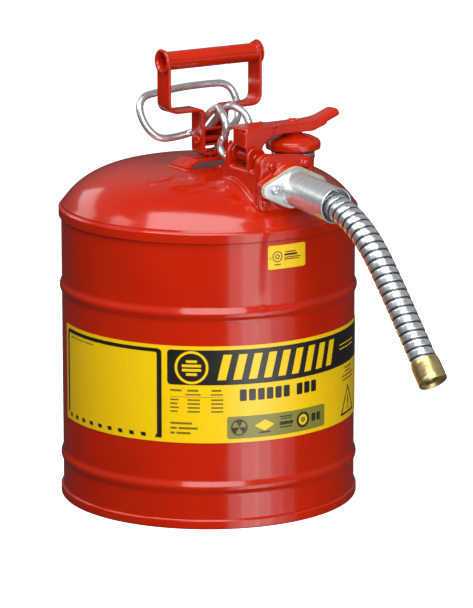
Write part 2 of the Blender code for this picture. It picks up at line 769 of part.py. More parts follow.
def manifold_body():
    """The hollow casting on the dome: pouring chamber, fill neck, hinge ears and link guards."""
    front = -FRONT_Y
    back = -CHAMBER_BACK_Y
    left, right = CHAMBER_X
    frame = hull_of_circles(PLATE_LOBES, 20)
    casting = prism("manifold_body", frame, front - FRAME_T, front, red(), facing_front())
    boolean(casting, prism("chamber", chamber_outline(), back, front - 0.001, red(), facing_front()), "UNION")
    inside = [
        (left + WALL, 0.29),
        (right - WALL, 0.29),
        (right - WALL, ROOF_Z - WALL),
        (left + WALL, ROOF_Z - WALL),
    ]
    cavity = prism("cavity", inside, back + WALL, front - FRAME_T, red(), facing_front())
    boolean(casting, cavity, "DIFFERENCE")
    neck = [(0, 0.30), (NECK_R[0] + 0.0008, 0.30), (NECK_R[1], NECK_TOP_Z), (0, NECK_TOP_Z)]
    boolean(casting, turned("neck", neck, red(), Matrix.Translation((FILL_X, FILL_Y, 0)), 28), "UNION")
    for plate in (*hinge_ears(), *link_guards()):
        boolean(casting, plate, "UNION")
    bore = prism("neck_bore", circle(NECK_BORE_R, FILL_X, FILL_Y, 24), 0.28, 0.38, steel())
    boolean(casting, bore, "DIFFERENCE")
    port = circle(PORT_R, SPOUT_X, SPOUT_Z + PORT_RISE, 20)
    pour_port = prism("pour_port", port, front - 0.008, front + 0.002, steel(), facing_front())
    boolean(casting, pour_port, "DIFFERENCE")
    for k, (x, z) in enumerate(SCREWS, 1):
        thread = circle(SCREW_R + GAP, x, z, 10)
        hole = prism(f"thread_{k}", thread, front - THREAD_DEPTH, front + 0.002, steel(), facing_front())
        boolean(casting, hole, "DIFFERENCE")
    pin = prism("pin_bore", circle(PIN_R + GAP, *LEVER_PIVOT, 12), 0.06, 0.12, steel(), facing_front())
    boolean(casting, pin, "DIFFERENCE")
    boolean(casting, dome_allowance("casting_foot"), "DIFFERENCE")
    return casting


def front_plate():
    """The cover that carries the spout, with a raised two-bolt pad square to the spout's axis."""
    back = -FRONT_Y + PLATE_GASKET_T + 2 * GAP
    outline = hull_of_circles(PLATE_LOBES, 20)
    plate = prism("front_plate", outline, back, back + PLATE_T, red(), facing_front())
    tips = [(x, 0, PAD_TIP_R) for x in (-PAD_TIP_X, PAD_TIP_X)]
    outline = hull_of_circles([(0, 0, FLANGE_CORE_R), *tips], 24)
    pad_top = -GASKET_T - 2 * GAP
    pad_holes = [circle(SCREW_R + GAP, x, 0, 10) for x in (-BOLT_X, BOLT_X)]
    pad = prism("spout_pad", outline, pad_top - 0.0125, pad_top, red(), along_spout(), pad_holes)
    behind = [(-0.1, 0.25), (0.1, 0.25), (0.1, 0.42), (-0.1, 0.42)]
    trim = prism("pad_trim", behind, back - 0.03, back + PLATE_T / 2, steel(), facing_front())
    boolean(pad, trim, "DIFFERENCE")
    boolean(plate, pad, "UNION")
    bore = prism("plate_bore", circle(SLEEVE_BORE_R, 0, 0, 24), -0.03, 0.02, steel(), along_spout())
    boolean(plate, bore, "DIFFERENCE")
    for k, (x, z) in enumerate(SCREWS, 1):
        clearance = circle(SCREW_R + GAP, x, z, 10)
        hole = prism(f"plate_hole_{k}", clearance, back - 0.003, back + 0.02, steel(), facing_front())
        boolean(plate, hole, "DIFFERENCE")
    boolean(plate, dome_allowance("plate_foot"), "DIFFERENCE")
    return plate


def plate_gasket():
    outline = hull_of_circles(PLATE_LOBES, 20)
    low = -FRONT_Y + GAP
    port = circle(SLEEVE_BORE_R, SPOUT_X, SPOUT_Z + PORT_RISE, 24)
    holes = [port, *(circle(SCREW_R + GAP, x, z, 10) for x, z in SCREWS)]
    gasket = prism("plate_gasket", outline, low, low + PLATE_GASKET_T, rubber(), facing_front(), holes)
    boolean(gasket, dome_allowance("gasket_foot"), "DIFFERENCE")
    return gasket


def screw_profile(shank_low, seat):
    return [
        (0, shank_low),
        (SCREW_R, shank_low),
        (SCREW_R, seat),
        (SCREW_HEAD_R, seat),
        (SCREW_HEAD_R * 0.92, seat + SCREW_HEAD_H * 0.7),
        (0, seat + SCREW_HEAD_H),
    ]


def plate_screws():
    seat = -FRONT_Y + PLATE_GASKET_T + PLATE_T + 3 * GAP
    profile = screw_profile(-FRONT_Y - THREAD_DEPTH + GAP, seat)
    for k, (x, z) in enumerate(SCREWS, 1):
        turned(f"plate_screw_{k}", profile, red(), Matrix.Translation((x, 0, z)) @ facing_front(), 12)


def diamond(core, tip_r):
    return hull_of_circles(((0, 0, core), (-FLANGE_TIP_X, 0, tip_r), (FLANGE_TIP_X, 0, tip_r)), 24)


def spout_gasket():
    holes = [circle(SLEEVE_BORE_R, 0, 0, 24), *(circle(SCREW_R + GAP, x, 0, 10) for x in (-BOLT_X, BOLT_X))]
    outline = diamond(FLANGE_CORE_R + 0.0008, FLANGE_TIP_R + 0.0008)
    return prism("spout_gasket", outline, -GASKET_T - GAP, -GAP, fibre(), along_spout(), holes)


def spout_sleeve():
    outline = diamond(FLANGE_CORE_R, FLANGE_TIP_R)
    holes = [circle(SCREW_R + GAP, x, 0, 10) for x in (-BOLT_X, BOLT_X)]
    sleeve = prism("spout_sleeve", outline, 0, FLANGE_T, zinc(), along_spout(), holes)
    tube = prism("sleeve_tube", circle(SLEEVE_R, 0, 0, 32), 0.0005, SLEEVE_LENGTH, zinc(), along_spout())
    bore = prism("sleeve_bore", circle(SLEEVE_BORE_R, 0, 0, 32), -0.01, 0.09, zinc(), along_spout())
    boolean(sleeve, tube, "UNION")
    boolean(sleeve, bore, "DIFFERENCE")
    return sleeve


def flange_bolts():
    for side, x in enumerate((-BOLT_X, BOLT_X), 1):
        profile = screw_profile(-BOLT_SHANK, FLANGE_T + GAP)
        turned(f"flange_bolt_{side}", profile, zinc(), along_spout() @ Matrix.Translation((x, 0, 0)), 12)


def hose_gland():
    high = SLEEVE_LENGTH - HOSE_INSERT - GLAND_GAP
    low = high - GLAND_LENGTH
    profile = ring((GLAND_BORE_R, SLEEVE_BORE_R - GAP), (low, high))
    return turned("hose_gland", profile, steel(), along_spout(), 24)


def hose_path():
    lead, *route = [(SPOUT_X, y, z) for y, z in (HOSE_LEAD, *HOSE_ROUTE)]
    return smooth_path(route, HOSE_STEPS, lead)


def hose():
    """The free hose, a plain tube along its route."""
    points = hose_path()
    curve = bpy.data.curves.new("hose", "CURVE")
    curve.dimensions = "3D"
    curve.bevel_depth = HOSE_R
    curve.bevel_resolution = 3
    curve.use_fill_caps = True
    spline = curve.splines.new("POLY")
    spline.points.add(len(points) - 1)
    for place, point in zip(spline.points, points):
        place.co = (*point, 1)
    curve.materials.append(zinc())
    made = bpy.data.objects.new("hose", curve)
    bpy.context.collection.objects.link(made)
    return made


def hose_ferrule():
    before, end = hose_path()[-2:]
    along = (end - before).normalized()
    placing = Matrix.Translation(end + along * GAP) @ along.to_track_quat("Z", "Y").to_matrix().to_4x4()
    profile = [
        (FERRULE_BORE_R, 0),
        (FERRULE_R - 0.0008, 0),
        (FERRULE_R, 0.0010),
        (FERRULE_R, FERRULE_LENGTH - 0.0020),
        (FERRULE_R - 0.0012, FERRULE_LENGTH),
        (FERRULE_BORE_R + 0.0008, FERRULE_LENGTH),
        (FERRULE_BORE_R, FERRULE_LENGTH - 0.0015),
    ]
    return turned("hose_ferrule", profile, brass(), placing, 24)


def basket(radius, wall, low, high):
    """The profile of a round basket, closed below and open above."""
    inner = radius - wall
    return [(0, low), (radius, low), (radius, high), (inner, high), (inner, low + wall), (0, low + wall)]


def flame_arresters():
    pour = basket(POUR_ARRESTER_R, 0.0008, -0.0230, -0.0030)
    turned("pour_arrester", pour, steel(), along_spout(), 20)
    fill = basket(FILL_ARRESTER_R, 0.0012, FILL_ARRESTER_Z, NECK_TOP_Z + 0.0020)
    turned("fill_arrester", fill, steel(), Matrix.Translation((FILL_X, FILL_Y, 0)), 20)


def fill_neck():
    inner, outer = FILL_LINER_R
    seat = NECK_TOP_Z + GAP
    top = seat + FILL_FLANGE_T
    flange = [(outer, seat), (FILL_FLANGE_R, seat), (FILL_FLANGE_R, top), (inner, top)]
    profile = [(inner, 0.3240), (outer, 0.3240), *flange]
    return turned("fill_neck", profile, zinc(), Matrix.Translation((FILL_X, FILL_Y, 0)), 28)


def fill_cap():
    """The cap with its boss up to the lever, the gasket under it and the rivet through the lever."""
    at_fill = Matrix.Translation((FILL_X, FILL_Y, 0))
    gasket_z = NECK_TOP_Z + FILL_FLANGE_T + 2 * GAP
    turned("cap_gasket", ring(CAP_GASKET_R, (gasket_z, gasket_z + CAP_GASKET_T)), rubber(), at_fill, 28)
    low, high = CAP_Z
    under_lever = LEVER_TOP_Z - LEVER_SHEET - GAP
    bore = PIN_R + GAP
    cap = [
        (0, low),
        (CAP_R - 0.0012, low),
        (CAP_R, low + 0.0012),
        (CAP_R, low + 0.0060),
        (CAP_R - 0.0012, low + 0.0082),
        (CAP_R - 0.0050, high),
        (CAP_CONE_R, high + CAP_CONE_RISE),
        (CAP_BOSS_R, high + CAP_CONE_RISE + 0.001),
        (CAP_BOSS_R, under_lever),
        (bore, under_lever),
        (bore, high),
        (0, high),
    ]
    turned("fill_cap", cap, red(), at_fill, 32)
    top = LEVER_TOP_Z + GAP
    rivet = [
        (0, high + GAP),
        (PIN_R, high + GAP),
        (PIN_R, top),
        (CAP_RIVET_HEAD_R, top),
        (CAP_RIVET_HEAD_R - 0.0007, top + 0.0014),
        (0, top + 0.0020),
    ]
    turned("cap_rivet", rivet, red(), at_fill, 16)


def lever_flanges(name, outlines, half):
    """A pair of side flanges of the lever's channel, half its width either side of the cap's centre."""
    for side, outline in enumerate(outlines, 1):
        y = FILL_Y + (half if side == 2 else LEVER_SHEET - half)
        yield prism(f"{name}_{side}", outline, -y, -y + LEVER_SHEET, red(), facing_front())


def thumb_tab():
    start = (0.055, LEVER_TOP_Z - LEVER_SHEET + 0.0011, 0)
    path = smooth_path([start, (0.066, 0.3866, 0), (0.076, 0.3888, 0), (0.0885, 0.3938, 0)], 3)
    outline = strip_outline([p.to_2d() for p in path], TAB_T)
    low, high = -FILL_Y - LEVER_TAB_HALF, -FILL_Y + LEVER_TAB_HALF
    return prism("thumb_tab", outline, low, high, red(), facing_front())


def fill_lever():
    """A pressed channel over the cap: wide at the hinge, narrow over the cap, ending in a thumb tab."""
    px, pz = LEVER_PIVOT
    top = LEVER_TOP_Z
    under = top - LEVER_SHEET
    rear_half = LEVER_REAR_HALF - 0.0005
    front_half = LEVER_FRONT_HALF - 0.0005
    wide = [(-0.0235, FILL_Y - 0.0110, 0.004), (-0.0175, FILL_Y + 0.0050, LEVER_REAR_CORNER_R)]
    wide += [(0.006, FILL_Y + y, 0.0005) for y in (-rear_half, rear_half)]
    narrow = [(x, FILL_Y + y, 0.0005) for x in (0.000, 0.060) for y in (-front_half, front_half)]
    rear = [
        (px - 0.0068, pz + 0.004),
        (px - 0.0045, pz - 0.006),
        (px + 0.0045, pz - 0.006),
        (px + 0.0075, pz + 0.002),
        (-0.0060, 0.3690),
        (0.0000, 0.3760),
        (0.0065, 0.3765),
        (0.0065, top),
    ]
    front = [(0.0045, top), (0.0045, 0.3768), (0.058, 0.3775), (0.074, 0.3822), (0.074, 0.3848), (0.060, top)]
    lever = prism("fill_lever", hull_of_circles(wide, 12), under, top, red())
    boolean(lever, prism("lever_top", hull_of_circles(narrow, 8), under, top, red()), "UNION")
    rears = [[(x, top), (x, 0.3740), *rear] for x in LEVER_REAR_X]
    rear_flanges = lever_flanges("rear_flange", rears, LEVER_REAR_HALF)
    front_flanges = lever_flanges("front_flange", (front, front), LEVER_FRONT_HALF)
    for flange in (*rear_flanges, *front_flanges):
        boolean(lever, flange, "UNION")
    boolean(lever, thumb_tab(), "UNION")
    pin = prism("lever_bore", circle(PIN_R + GAP, px, pz, 12), 0.06, 0.12, steel(), facing_front())
    boolean(lever, pin, "DIFFERENCE")
    rivet = prism("rivet_bore", circle(PIN_R + GAP, FILL_X, FILL_Y, 12), 0.37, 0.40, steel())
    boolean(lever, rivet, "DIFFERENCE")
    return lever


def lever_hinge():
    px, pz = LEVER_PIVOT
    reach = EAR_INNER + EAR_T + GAP
    head = [(PIN_R, reach), (0.0042, reach), (0.0038, reach + 0.0012), (0, reach + 0.0014)]
    profile = [(r, -x) for r, x in reversed(head)] + head
    turned("lever_hinge_pin", profile, steel(), Matrix.Translation((px, 0, pz)) @ facing_front(FILL_Y), 12)
    coil = [(px + x, FILL_Y + y, pz + z) for x, z, y in helix(LEVER_SPRING_R, -0.008, 0.008, 6, 0, 0, 8)]
    rod("lever_spring", coil, SPRING_WIRE_R, steel(), 6)


def mount_on_axis(name, place, members):
    """Hangs the pieces of one moving body on an empty that stands on its joint's axis."""
    axis = bpy.data.objects.new(name, None)
    axis.location = place
    bpy.context.collection.objects.link(axis)
    bpy.context.view_layer.update()
    for member in members:
        obj = bpy.data.objects[member]
        obj.parent = axis
        obj.matrix_parent_inverse = axis.matrix_world.inverted()


def build():
    clear_scene()
    body_shell()
    bottom_head()
    top_dome()
    label("main_label", LABEL_DEG, LABEL_Z)
    label("small_label", SMALL_LABEL_DEG, SMALL_LABEL_Z)
    dome_bracket()
    handle_strap()
    handle_rivets()
    grip_tube()
    trigger_wire()
    trigger_saddle()
    trigger_pivot_pin()
    valve_link()
    valve_moving_parts()
    valve_fixed_parts()
    manifold_body()
    plate_gasket()
    front_plate()
    plate_screws()
    spout_gasket()
    spout_sleeve()
    flange_bolts()
    flame_arresters()
    hose_gland()
    hose()
    hose_ferrule()
    fill_neck()
    fill_cap()
    fill_lever()
    lever_hinge()
    mount_on_axis("trigger_axis", (0, HANDLE_Y, PIVOT_Z), ("trigger_wire", "trigger_saddle"))
    x, z = LEVER_PIVOT
    mount_on_axis("lever_axis", (x, FILL_Y, z), ("fill_lever", "fill_cap", "cap_gasket", "cap_rivet"))
    valve = ("valve_link", "valve_stem", "valve_arm", "valve_poppet", "poppet_seal")
    mount_on_axis("valve_axis", (0, STEM_Y, STEM_TOP_Z), valve)


build()
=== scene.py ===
import math

import bmesh
import bpy
import numpy as np
from mathutils import Matrix, Vector
from mathutils.geometry import tessellate_polygon


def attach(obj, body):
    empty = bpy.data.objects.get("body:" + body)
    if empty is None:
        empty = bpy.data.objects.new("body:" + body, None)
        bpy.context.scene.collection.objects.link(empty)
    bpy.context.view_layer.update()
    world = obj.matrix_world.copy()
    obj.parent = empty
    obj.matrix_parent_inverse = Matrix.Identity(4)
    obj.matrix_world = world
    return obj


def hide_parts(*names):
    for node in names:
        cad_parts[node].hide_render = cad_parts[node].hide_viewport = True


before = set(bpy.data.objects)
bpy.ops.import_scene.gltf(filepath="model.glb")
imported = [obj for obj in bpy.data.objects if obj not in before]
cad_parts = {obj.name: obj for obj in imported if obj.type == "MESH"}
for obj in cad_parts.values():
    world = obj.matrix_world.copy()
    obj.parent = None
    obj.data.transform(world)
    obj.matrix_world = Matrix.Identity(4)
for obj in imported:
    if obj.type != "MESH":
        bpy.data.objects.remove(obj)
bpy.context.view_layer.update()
scene = bpy.context.scene

# Can
BODY_R = 0.1467
CHIME_R = 0.1492
CHIME_H = 0.0095
BEADS = (0.0415, 0.2145)
BEAD_HALF = 0.0075
SEAM_DEG = 88.0
SEAM_HALF_DEG = 1.1
SEAM_PROUD = 0.00035
BEAD_PROUD = 0.0022
TOP_CHIME_Z = 0.2842
VIEW_DEG = -123.0  # the direction that the label's middle faces
LABEL_R = 0.14725
FILM_STEP = 0.003  # how far apart the wrapped shapes are cut to bend
FILM_T = 0.00006

# Handle and trigger
HANDLE_Y = -0.0035
STRAP_W = 0.0218
STRAP_T = 0.003
UPRIGHT_X = 0.0535
STEM_X = 0.0135
SHOULDER_Z = 0.3925
STRAP_BASE_Z = 0.3477
GRIP_Z = 0.443
GRIP_R = 0.00925
RIVET_X = 0.0052
PIVOT_Z = 0.3612
PIVOT_R = 0.0035
WIRE_R = 0.0037
LINK_R = 0.0032
STEM_Y = -0.0565
BRACKET_TOP_Z = 0.3446
BRACKET_T = 0.0026
BRACKET_FOOT_Z = 0.3378
BRACKET_Y = (-0.022, 0.0085)
LOOP_SKEW = 0.05

# Manifold
FRONT_Y = -0.1275
FRAME_T = 0.006
CHAMBER_X = (-0.0245, 0.036)
CHAMBER_BACK_Y = -0.0745
ROOF_Z = 0.349
FILL = (0.0393, -0.092)
NECK_TOP_Z = 0.355
EAR_T = 0.0035
PLATE_BACK = 0.0014 - FRONT_Y
PLATE_FACE = PLATE_BACK + 0.0046
BOSS_H = 0.0007
LOBES = (
    (-0.015, 0.3545, 0.0115), (0.0262, 0.3535, 0.008), (0.0325, 0.3195, 0.0085),
    (-0.021, 0.3195, 0.0078),
)
SCREWS = ((-0.014, 0.3545), (0.0256, 0.354), (0.032, 0.3195), (-0.0215, 0.3195))
SCREW_R = 0.0022

# Spout and hose
SPOUT = (0.0052, -0.1446, 0.3341)
SPOUT_DIP = math.radians(5.0)
SLEEVE_R = 0.0173
SLEEVE_BORE_R = 0.0162
SLEEVE_LENGTH = 0.0707
BOLT_X = 0.024
HOSE_R = 0.0127
HOSE_PITCH = 0.0087
HOSE_GROOVE = 0.001
HOSE_LEAD = (-0.1772, 0.3295)
HOSE_ROUTE = (
    (-0.2001, 0.3295), (-0.2227, 0.3255), (-0.2443, 0.3176), (-0.264, 0.306), (-0.2816, 0.2913),
    (-0.2975, 0.2747), (-0.3129, 0.2576), (-0.3281, 0.2403), (-0.3432, 0.2229), (-0.3583, 0.2055),
)

# Fill cap and lever
CAP_R = 0.027
CAP_Z = (0.361, 0.371)
LEVER_PIVOT = (-0.016, 0.3595)
LEVER_TOP_Z = 0.388
LEVER_SHEET = 0.0022
LEVER_HALF_W = 0.015
PIN_R = 0.0025


# ---------------------------------------------------------------- mesh helpers


def around(count):
    """Angles evenly round a turn."""
    return [2 * math.pi * k / count for k in range(count)]


def link(name, mesh, look, placing=None):
    obj = bpy.data.objects.new(name, mesh)
    scene.collection.objects.link(obj)
    mesh.materials.append(look)
    if placing is not None:
        obj.matrix_world = placing
    return obj


def shade(mesh, degrees):
    mesh.shade_smooth()
    mesh.set_sharp_from_angle(angle=math.radians(degrees))


def from_bmesh(name, bm, look, placing=None, degrees=35, outward=True):
    if outward:
        bmesh.ops.recalc_face_normals(bm, faces=bm.faces)
    mesh = bpy.data.meshes.new(name)
    bm.to_mesh(mesh)
    bm.free()
    shade(mesh, degrees)
    return link(name, mesh, look, placing)


def settled(obj, degrees=None):
    """Replaces the object's mesh by its evaluated one and clears its modifiers."""
    bpy.context.view_layer.update()
    mesh = bpy.data.meshes.new_from_object(obj.evaluated_get(bpy.context.evaluated_depsgraph_get()))
    obj.modifiers.clear()
    obj.data = mesh
    if degrees is not None:
        shade(mesh, degrees)
    return obj


def grid(rows, capped=False):
    """A bmesh skin over rings of points. A ring of one point is a tip."""
    bm = bmesh.new()
    made = [[bm.verts.new(p) for p in row] for row in rows]
    for low, high in zip(made, made[1:]):
        count = max(len(low), len(high))
        for k in range(count):
            n = (k + 1) % count
            corners = [low[k % len(low)], low[n % len(low)], high[n % len(high)], high[k % len(high)]]
            corners = list(dict.fromkeys(corners))
            if len(corners) > 2:
                bm.faces.new(corners)
    if capped:
        bm.faces.new(made[0])
        bm.faces.new(made[-1])
    return bm


def fillet(points, radius, steps, closed=False):
    """A polyline in 2-D whose corners are rounded. The radius is one number, or one for each point."""
    points = [Vector(p) for p in points]
    count = len(points)
    radii = radius if isinstance(radius, (list, tuple)) else [radius] * count
    found = []
    for k, corner in enumerate(points):
        if not closed and k in (0, count - 1):
            found.append(corner)
            continue
        back, on = points[k - 1] - corner, points[(k + 1) % count] - corner
        angle = back.angle(on) if back.length and on.length else math.pi
        reach = min(radii[k] / max(math.tan(angle / 2), 1e-6), back.length * 0.48, on.length * 0.48)
        if angle > 3.1 or reach < 1e-7:
            found.append(corner)
            continue
        start, end = corner + back.normalized() * reach, corner + on.normalized() * reach
        for s in range(steps + 1):
            t = s / steps
            found.append(start * (1 - t) ** 2 + corner * 2 * t * (1 - t) + end * t * t)
    return [tuple(p) for p in found]


def lathe(name, profile, look, placing=None, turns=96, closed=False, degrees=40, shape=None):
    """Turned about local Z from (radius, height) pairs. shape(x, y, z) may move each point."""
    rows = []
    for radius, height in profile:
        turn = around(turns) if radius > 1e-7 else [0]
        rows.append([(radius * math.cos(t), radius * math.sin(t), height) for t in turn])
    if shape:
        rows = [[shape(*p) for p in row] for row in rows]
    if closed:
        rows.append(rows[0])
    bm = grid(rows)
    if closed:
        bmesh.ops.remove_doubles(bm, verts=bm.verts, dist=1e-7)
    return from_bmesh(name, bm, look, placing, degrees)


def slab(name, outline, low, high, look, placing=None, holes=(), bevel=0.0):
    """An outline in local XY with holes, extruded along local Z, its edges rounded."""
    bm = bmesh.new()
    loops = [list(outline), *[list(h) for h in holes]]
    flat = [Vector((*point, 0)) for loop in loops for point in loop]
    layers = [[bm.verts.new((p.x, p.y, height)) for p in flat] for height in (low, high)]
    if holes:
        for triangle in tessellate_polygon([[Vector((*p, 0)) for p in loop] for loop in loops]):
            for layer in layers:
                bm.faces.new([layer[k] for k in triangle])
    else:
        for layer in layers:
            bm.faces.new(layer)
    first = 0
    for loop in loops:
        for k in range(len(loop)):
            a, b = first + k, first + (k + 1) % len(loop)
            bm.faces.new((layers[0][a], layers[0][b], layers[1][b], layers[1][a]))
        first += len(loop)
    obj = from_bmesh(name, bm, look, placing)
    return round_edges(obj, bevel) if bevel else obj


def round_edges(obj, width, degrees=35):
    made = obj.modifiers.new("edges", "BEVEL")
    made.width = width
    made.segments = 3
    made.limit_method = "ANGLE"
    made.angle_limit = math.radians(degrees)
    made.use_clamp_overlap = True
    return settled(obj, 60)


def cut(obj, *others):
    for other in others:
        made = obj.modifiers.new("cut", "BOOLEAN")
        made.operation = "DIFFERENCE"
        made.solver = "EXACT"
        made.object = other
    settled(obj)
    for other in others:
        bpy.data.objects.remove(other, do_unlink=True)
    return obj


def merged(name, parts, look, placing=None):
    """One object holding copies of these parts, which are removed."""
    bm = bmesh.new()
    bpy.context.view_layer.update()
    for part in parts:
        mesh = part.data.copy()
        mesh.transform(part.matrix_world)
        bm.from_mesh(mesh)
        bpy.data.meshes.remove(mesh)
        bpy.data.objects.remove(part, do_unlink=True)
    if placing is not None:
        bmesh.ops.transform(bm, matrix=placing.inverted(), verts=bm.verts)
    for face in bm.faces:
        face.material_index = 0
    return from_bmesh(name, bm, look, placing, outward=False)


def cast(name, parts, look, voxel, relax, cutters=()):
    """Overlapping parts melted into one skin with soft corners, as a thick enamel leaves them."""
    obj = merged(name, parts, look)
    made = obj.modifiers.new("skin", "REMESH")
    made.mode = "VOXEL"
    made.voxel_size = voxel
    made.adaptivity = 0
    made.use_smooth_shade = True
    soft = obj.modifiers.new("soft", "SMOOTH")
    soft.factor = 0.5
    soft.iterations = relax
    settled(obj)
    if cutters:
        cut(obj, *cutters)
    obj.data.shade_smooth()
    return obj


def spread(low, high, count):
    return np.linspace(low, high, count).tolist()


def circle(radius, x=0.0, y=0.0, facets=48):
    return [(x + radius * math.cos(t), y + radius * math.sin(t)) for t in around(facets)]


def hull_of_circles(circles, facets=48):
    """The outline of a band pulled round some circles."""
    points = sorted({p for x, y, r in circles for p in circle(r, x, y, facets)})

    def chain(ordered):
        kept = []
        for p in ordered:
            while len(kept) > 1:
                (ax, ay), (bx, by) = kept[-2], kept[-1]
                if (bx - ax) * (p[1] - ay) - (by - ay) * (p[0] - ax) > 1e-13:
                    break
                kept.pop()
            kept.append(p)
        return kept[:-1]

    return chain(points) + chain(reversed(points))


def smooth_path(route, steps, lead=None):
    """Points on the Catmull-Rom curve through a route."""
    route = [Vector(p) for p in route]
    lead = Vector(lead) if lead else 2 * route[0] - route[1]
    ends = [lead, *route, 2 * route[-1] - route[-2]]
    found = []
    for a, b, c, d in zip(ends, ends[1:], ends[2:], ends[3:]):
        bend, twist = 2 * a - 5 * b + 4 * c - d, 3 * b - a - 3 * c + d
        for k in range(steps):
            t = k / steps
            found.append(0.5 * (2 * b + (c - a) * t + bend * t**2 + twist * t**3))
    return [*found, route[-1]]


def evenly(path, spacing):
    """The path again with points an even distance apart."""
    points = np.array([tuple(p) for p in path])
    steps = np.linalg.norm(np.diff(points, axis=0), axis=1)
    along = np.concatenate([[0], np.cumsum(steps)])
    count = max(2, int(round(along[-1] / spacing)))
    reached = np.linspace(0, along[-1], count + 1)
    found = np.stack([np.interp(reached, along, points[:, k]) for k in range(3)], axis=1)
    return [Vector(p) for p in found.tolist()], reached.tolist()


def frames_along(points, first_side=None):
    """For each point of a path: the direction, and two directions across it that don't twist."""
    found = []
    side = Vector(first_side) if first_side else None
    for before, after in zip([points[0], *points], [*points[1:], points[-1]]):
        along = (after - before).normalized()
        if side is None:
            side = along.orthogonal()
        side = (side - along * side.dot(along)).normalized()
        found.append((along, side, along.cross(side)))
    return found


def tube(name, path, radius, look, sides=24, spacing=None):
    """A round bar along a path, with softly rounded ends."""
    points = [Vector(p) for p in path]
    if spacing:
        points, _ = evenly(points, spacing)
    turn = around(sides)

    def ring(k, share=1.0, way=0):
        along, side, up = frames[k]
        centre = points[k] + way * along * radius * 0.45 * math.cos(share * math.pi / 2)
        return [centre + radius * share * (side * math.cos(t) + up * math.sin(t)) for t in turn]

    frames = frames_along(points)
    shares = (0.3, 0.62, 0.86)
    rows = [ring(0, share, -1) for share in shares]
    rows += [ring(k) for k in range(len(points))]
    rows += [ring(-1, share, 1) for share in reversed(shares)]
    return from_bmesh(name, grid(rows, capped=True), look, degrees=50)


def strip_outline(path, thickness):
    """The outline of a bent strip seen edge on."""
    left, right = [], []
    for k, point in enumerate(path):
        before = (point - path[k - 1]).normalized() if k else None
        after = (path[k + 1] - point).normalized() if k + 1 < len(path) else None
        before, after = before or after, after or before
        along = (before + after).normalized()
        normal = Vector((-along.y, along.x)) * (thickness / 2 / along.dot(after))
        left.append(tuple(point + normal))
        right.append(tuple(point - normal))
    return left + right[::-1]


def helix(radius, low, high, turns, per_turn):
    heights = spread(low, high, turns * per_turn + 1)
    angles = [2 * math.pi * k / per_turn for k in range(len(heights))]
    return [(radius * math.cos(t), radius * math.sin(t), z) for t, z in zip(angles, heights)]


def headed_pin(head, reach, radius):
    """The profile of a pin whose two ends have the same head, given outwards from the reach."""
    line = fillet([(r, reach + out) for r, out in head], radius, 4)
    return [(r, -x) for r, x in reversed(line)] + line


def at(x, y=0.0, z=0.0):
    return Matrix.Translation((x, y, z))


def facing_front(y=0.0):
    """Local X stays X, local Y becomes up, local Z points to the front."""
    return at(0, y) @ Matrix.Rotation(math.pi / 2, 4, "X")


def facing_right(x=0.0):
    """Local X becomes Y, local Y becomes up, local Z points along X."""
    turn = Matrix(((0, 0, 1, 0), (1, 0, 0, 0), (0, 1, 0, 0), (0, 0, 0, 1)))
    return at(x) @ turn


def along_spout():
    """Local Z runs out of the spout from the back face of its flange."""
    return at(*SPOUT) @ Matrix.Rotation(math.pi / 2 + SPOUT_DIP, 4, "X")


def smooth_step(t):
    t = min(max(t, 0.0), 1.0)
    return t * t * (3 - 2 * t)


def mirrored(half):
    return [*half, *((-x, y, z) for x, y, z in reversed(half[:-1]))]


def stands_for(obj, nodes, body="can"):
    """Puts the piece on its body, in place of CAD nodes."""
    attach(obj, body)
    if nodes:
        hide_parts(*([nodes] if isinstance(nodes, str) else nodes))
    return obj


# ---------------------------------------------------------------- materials


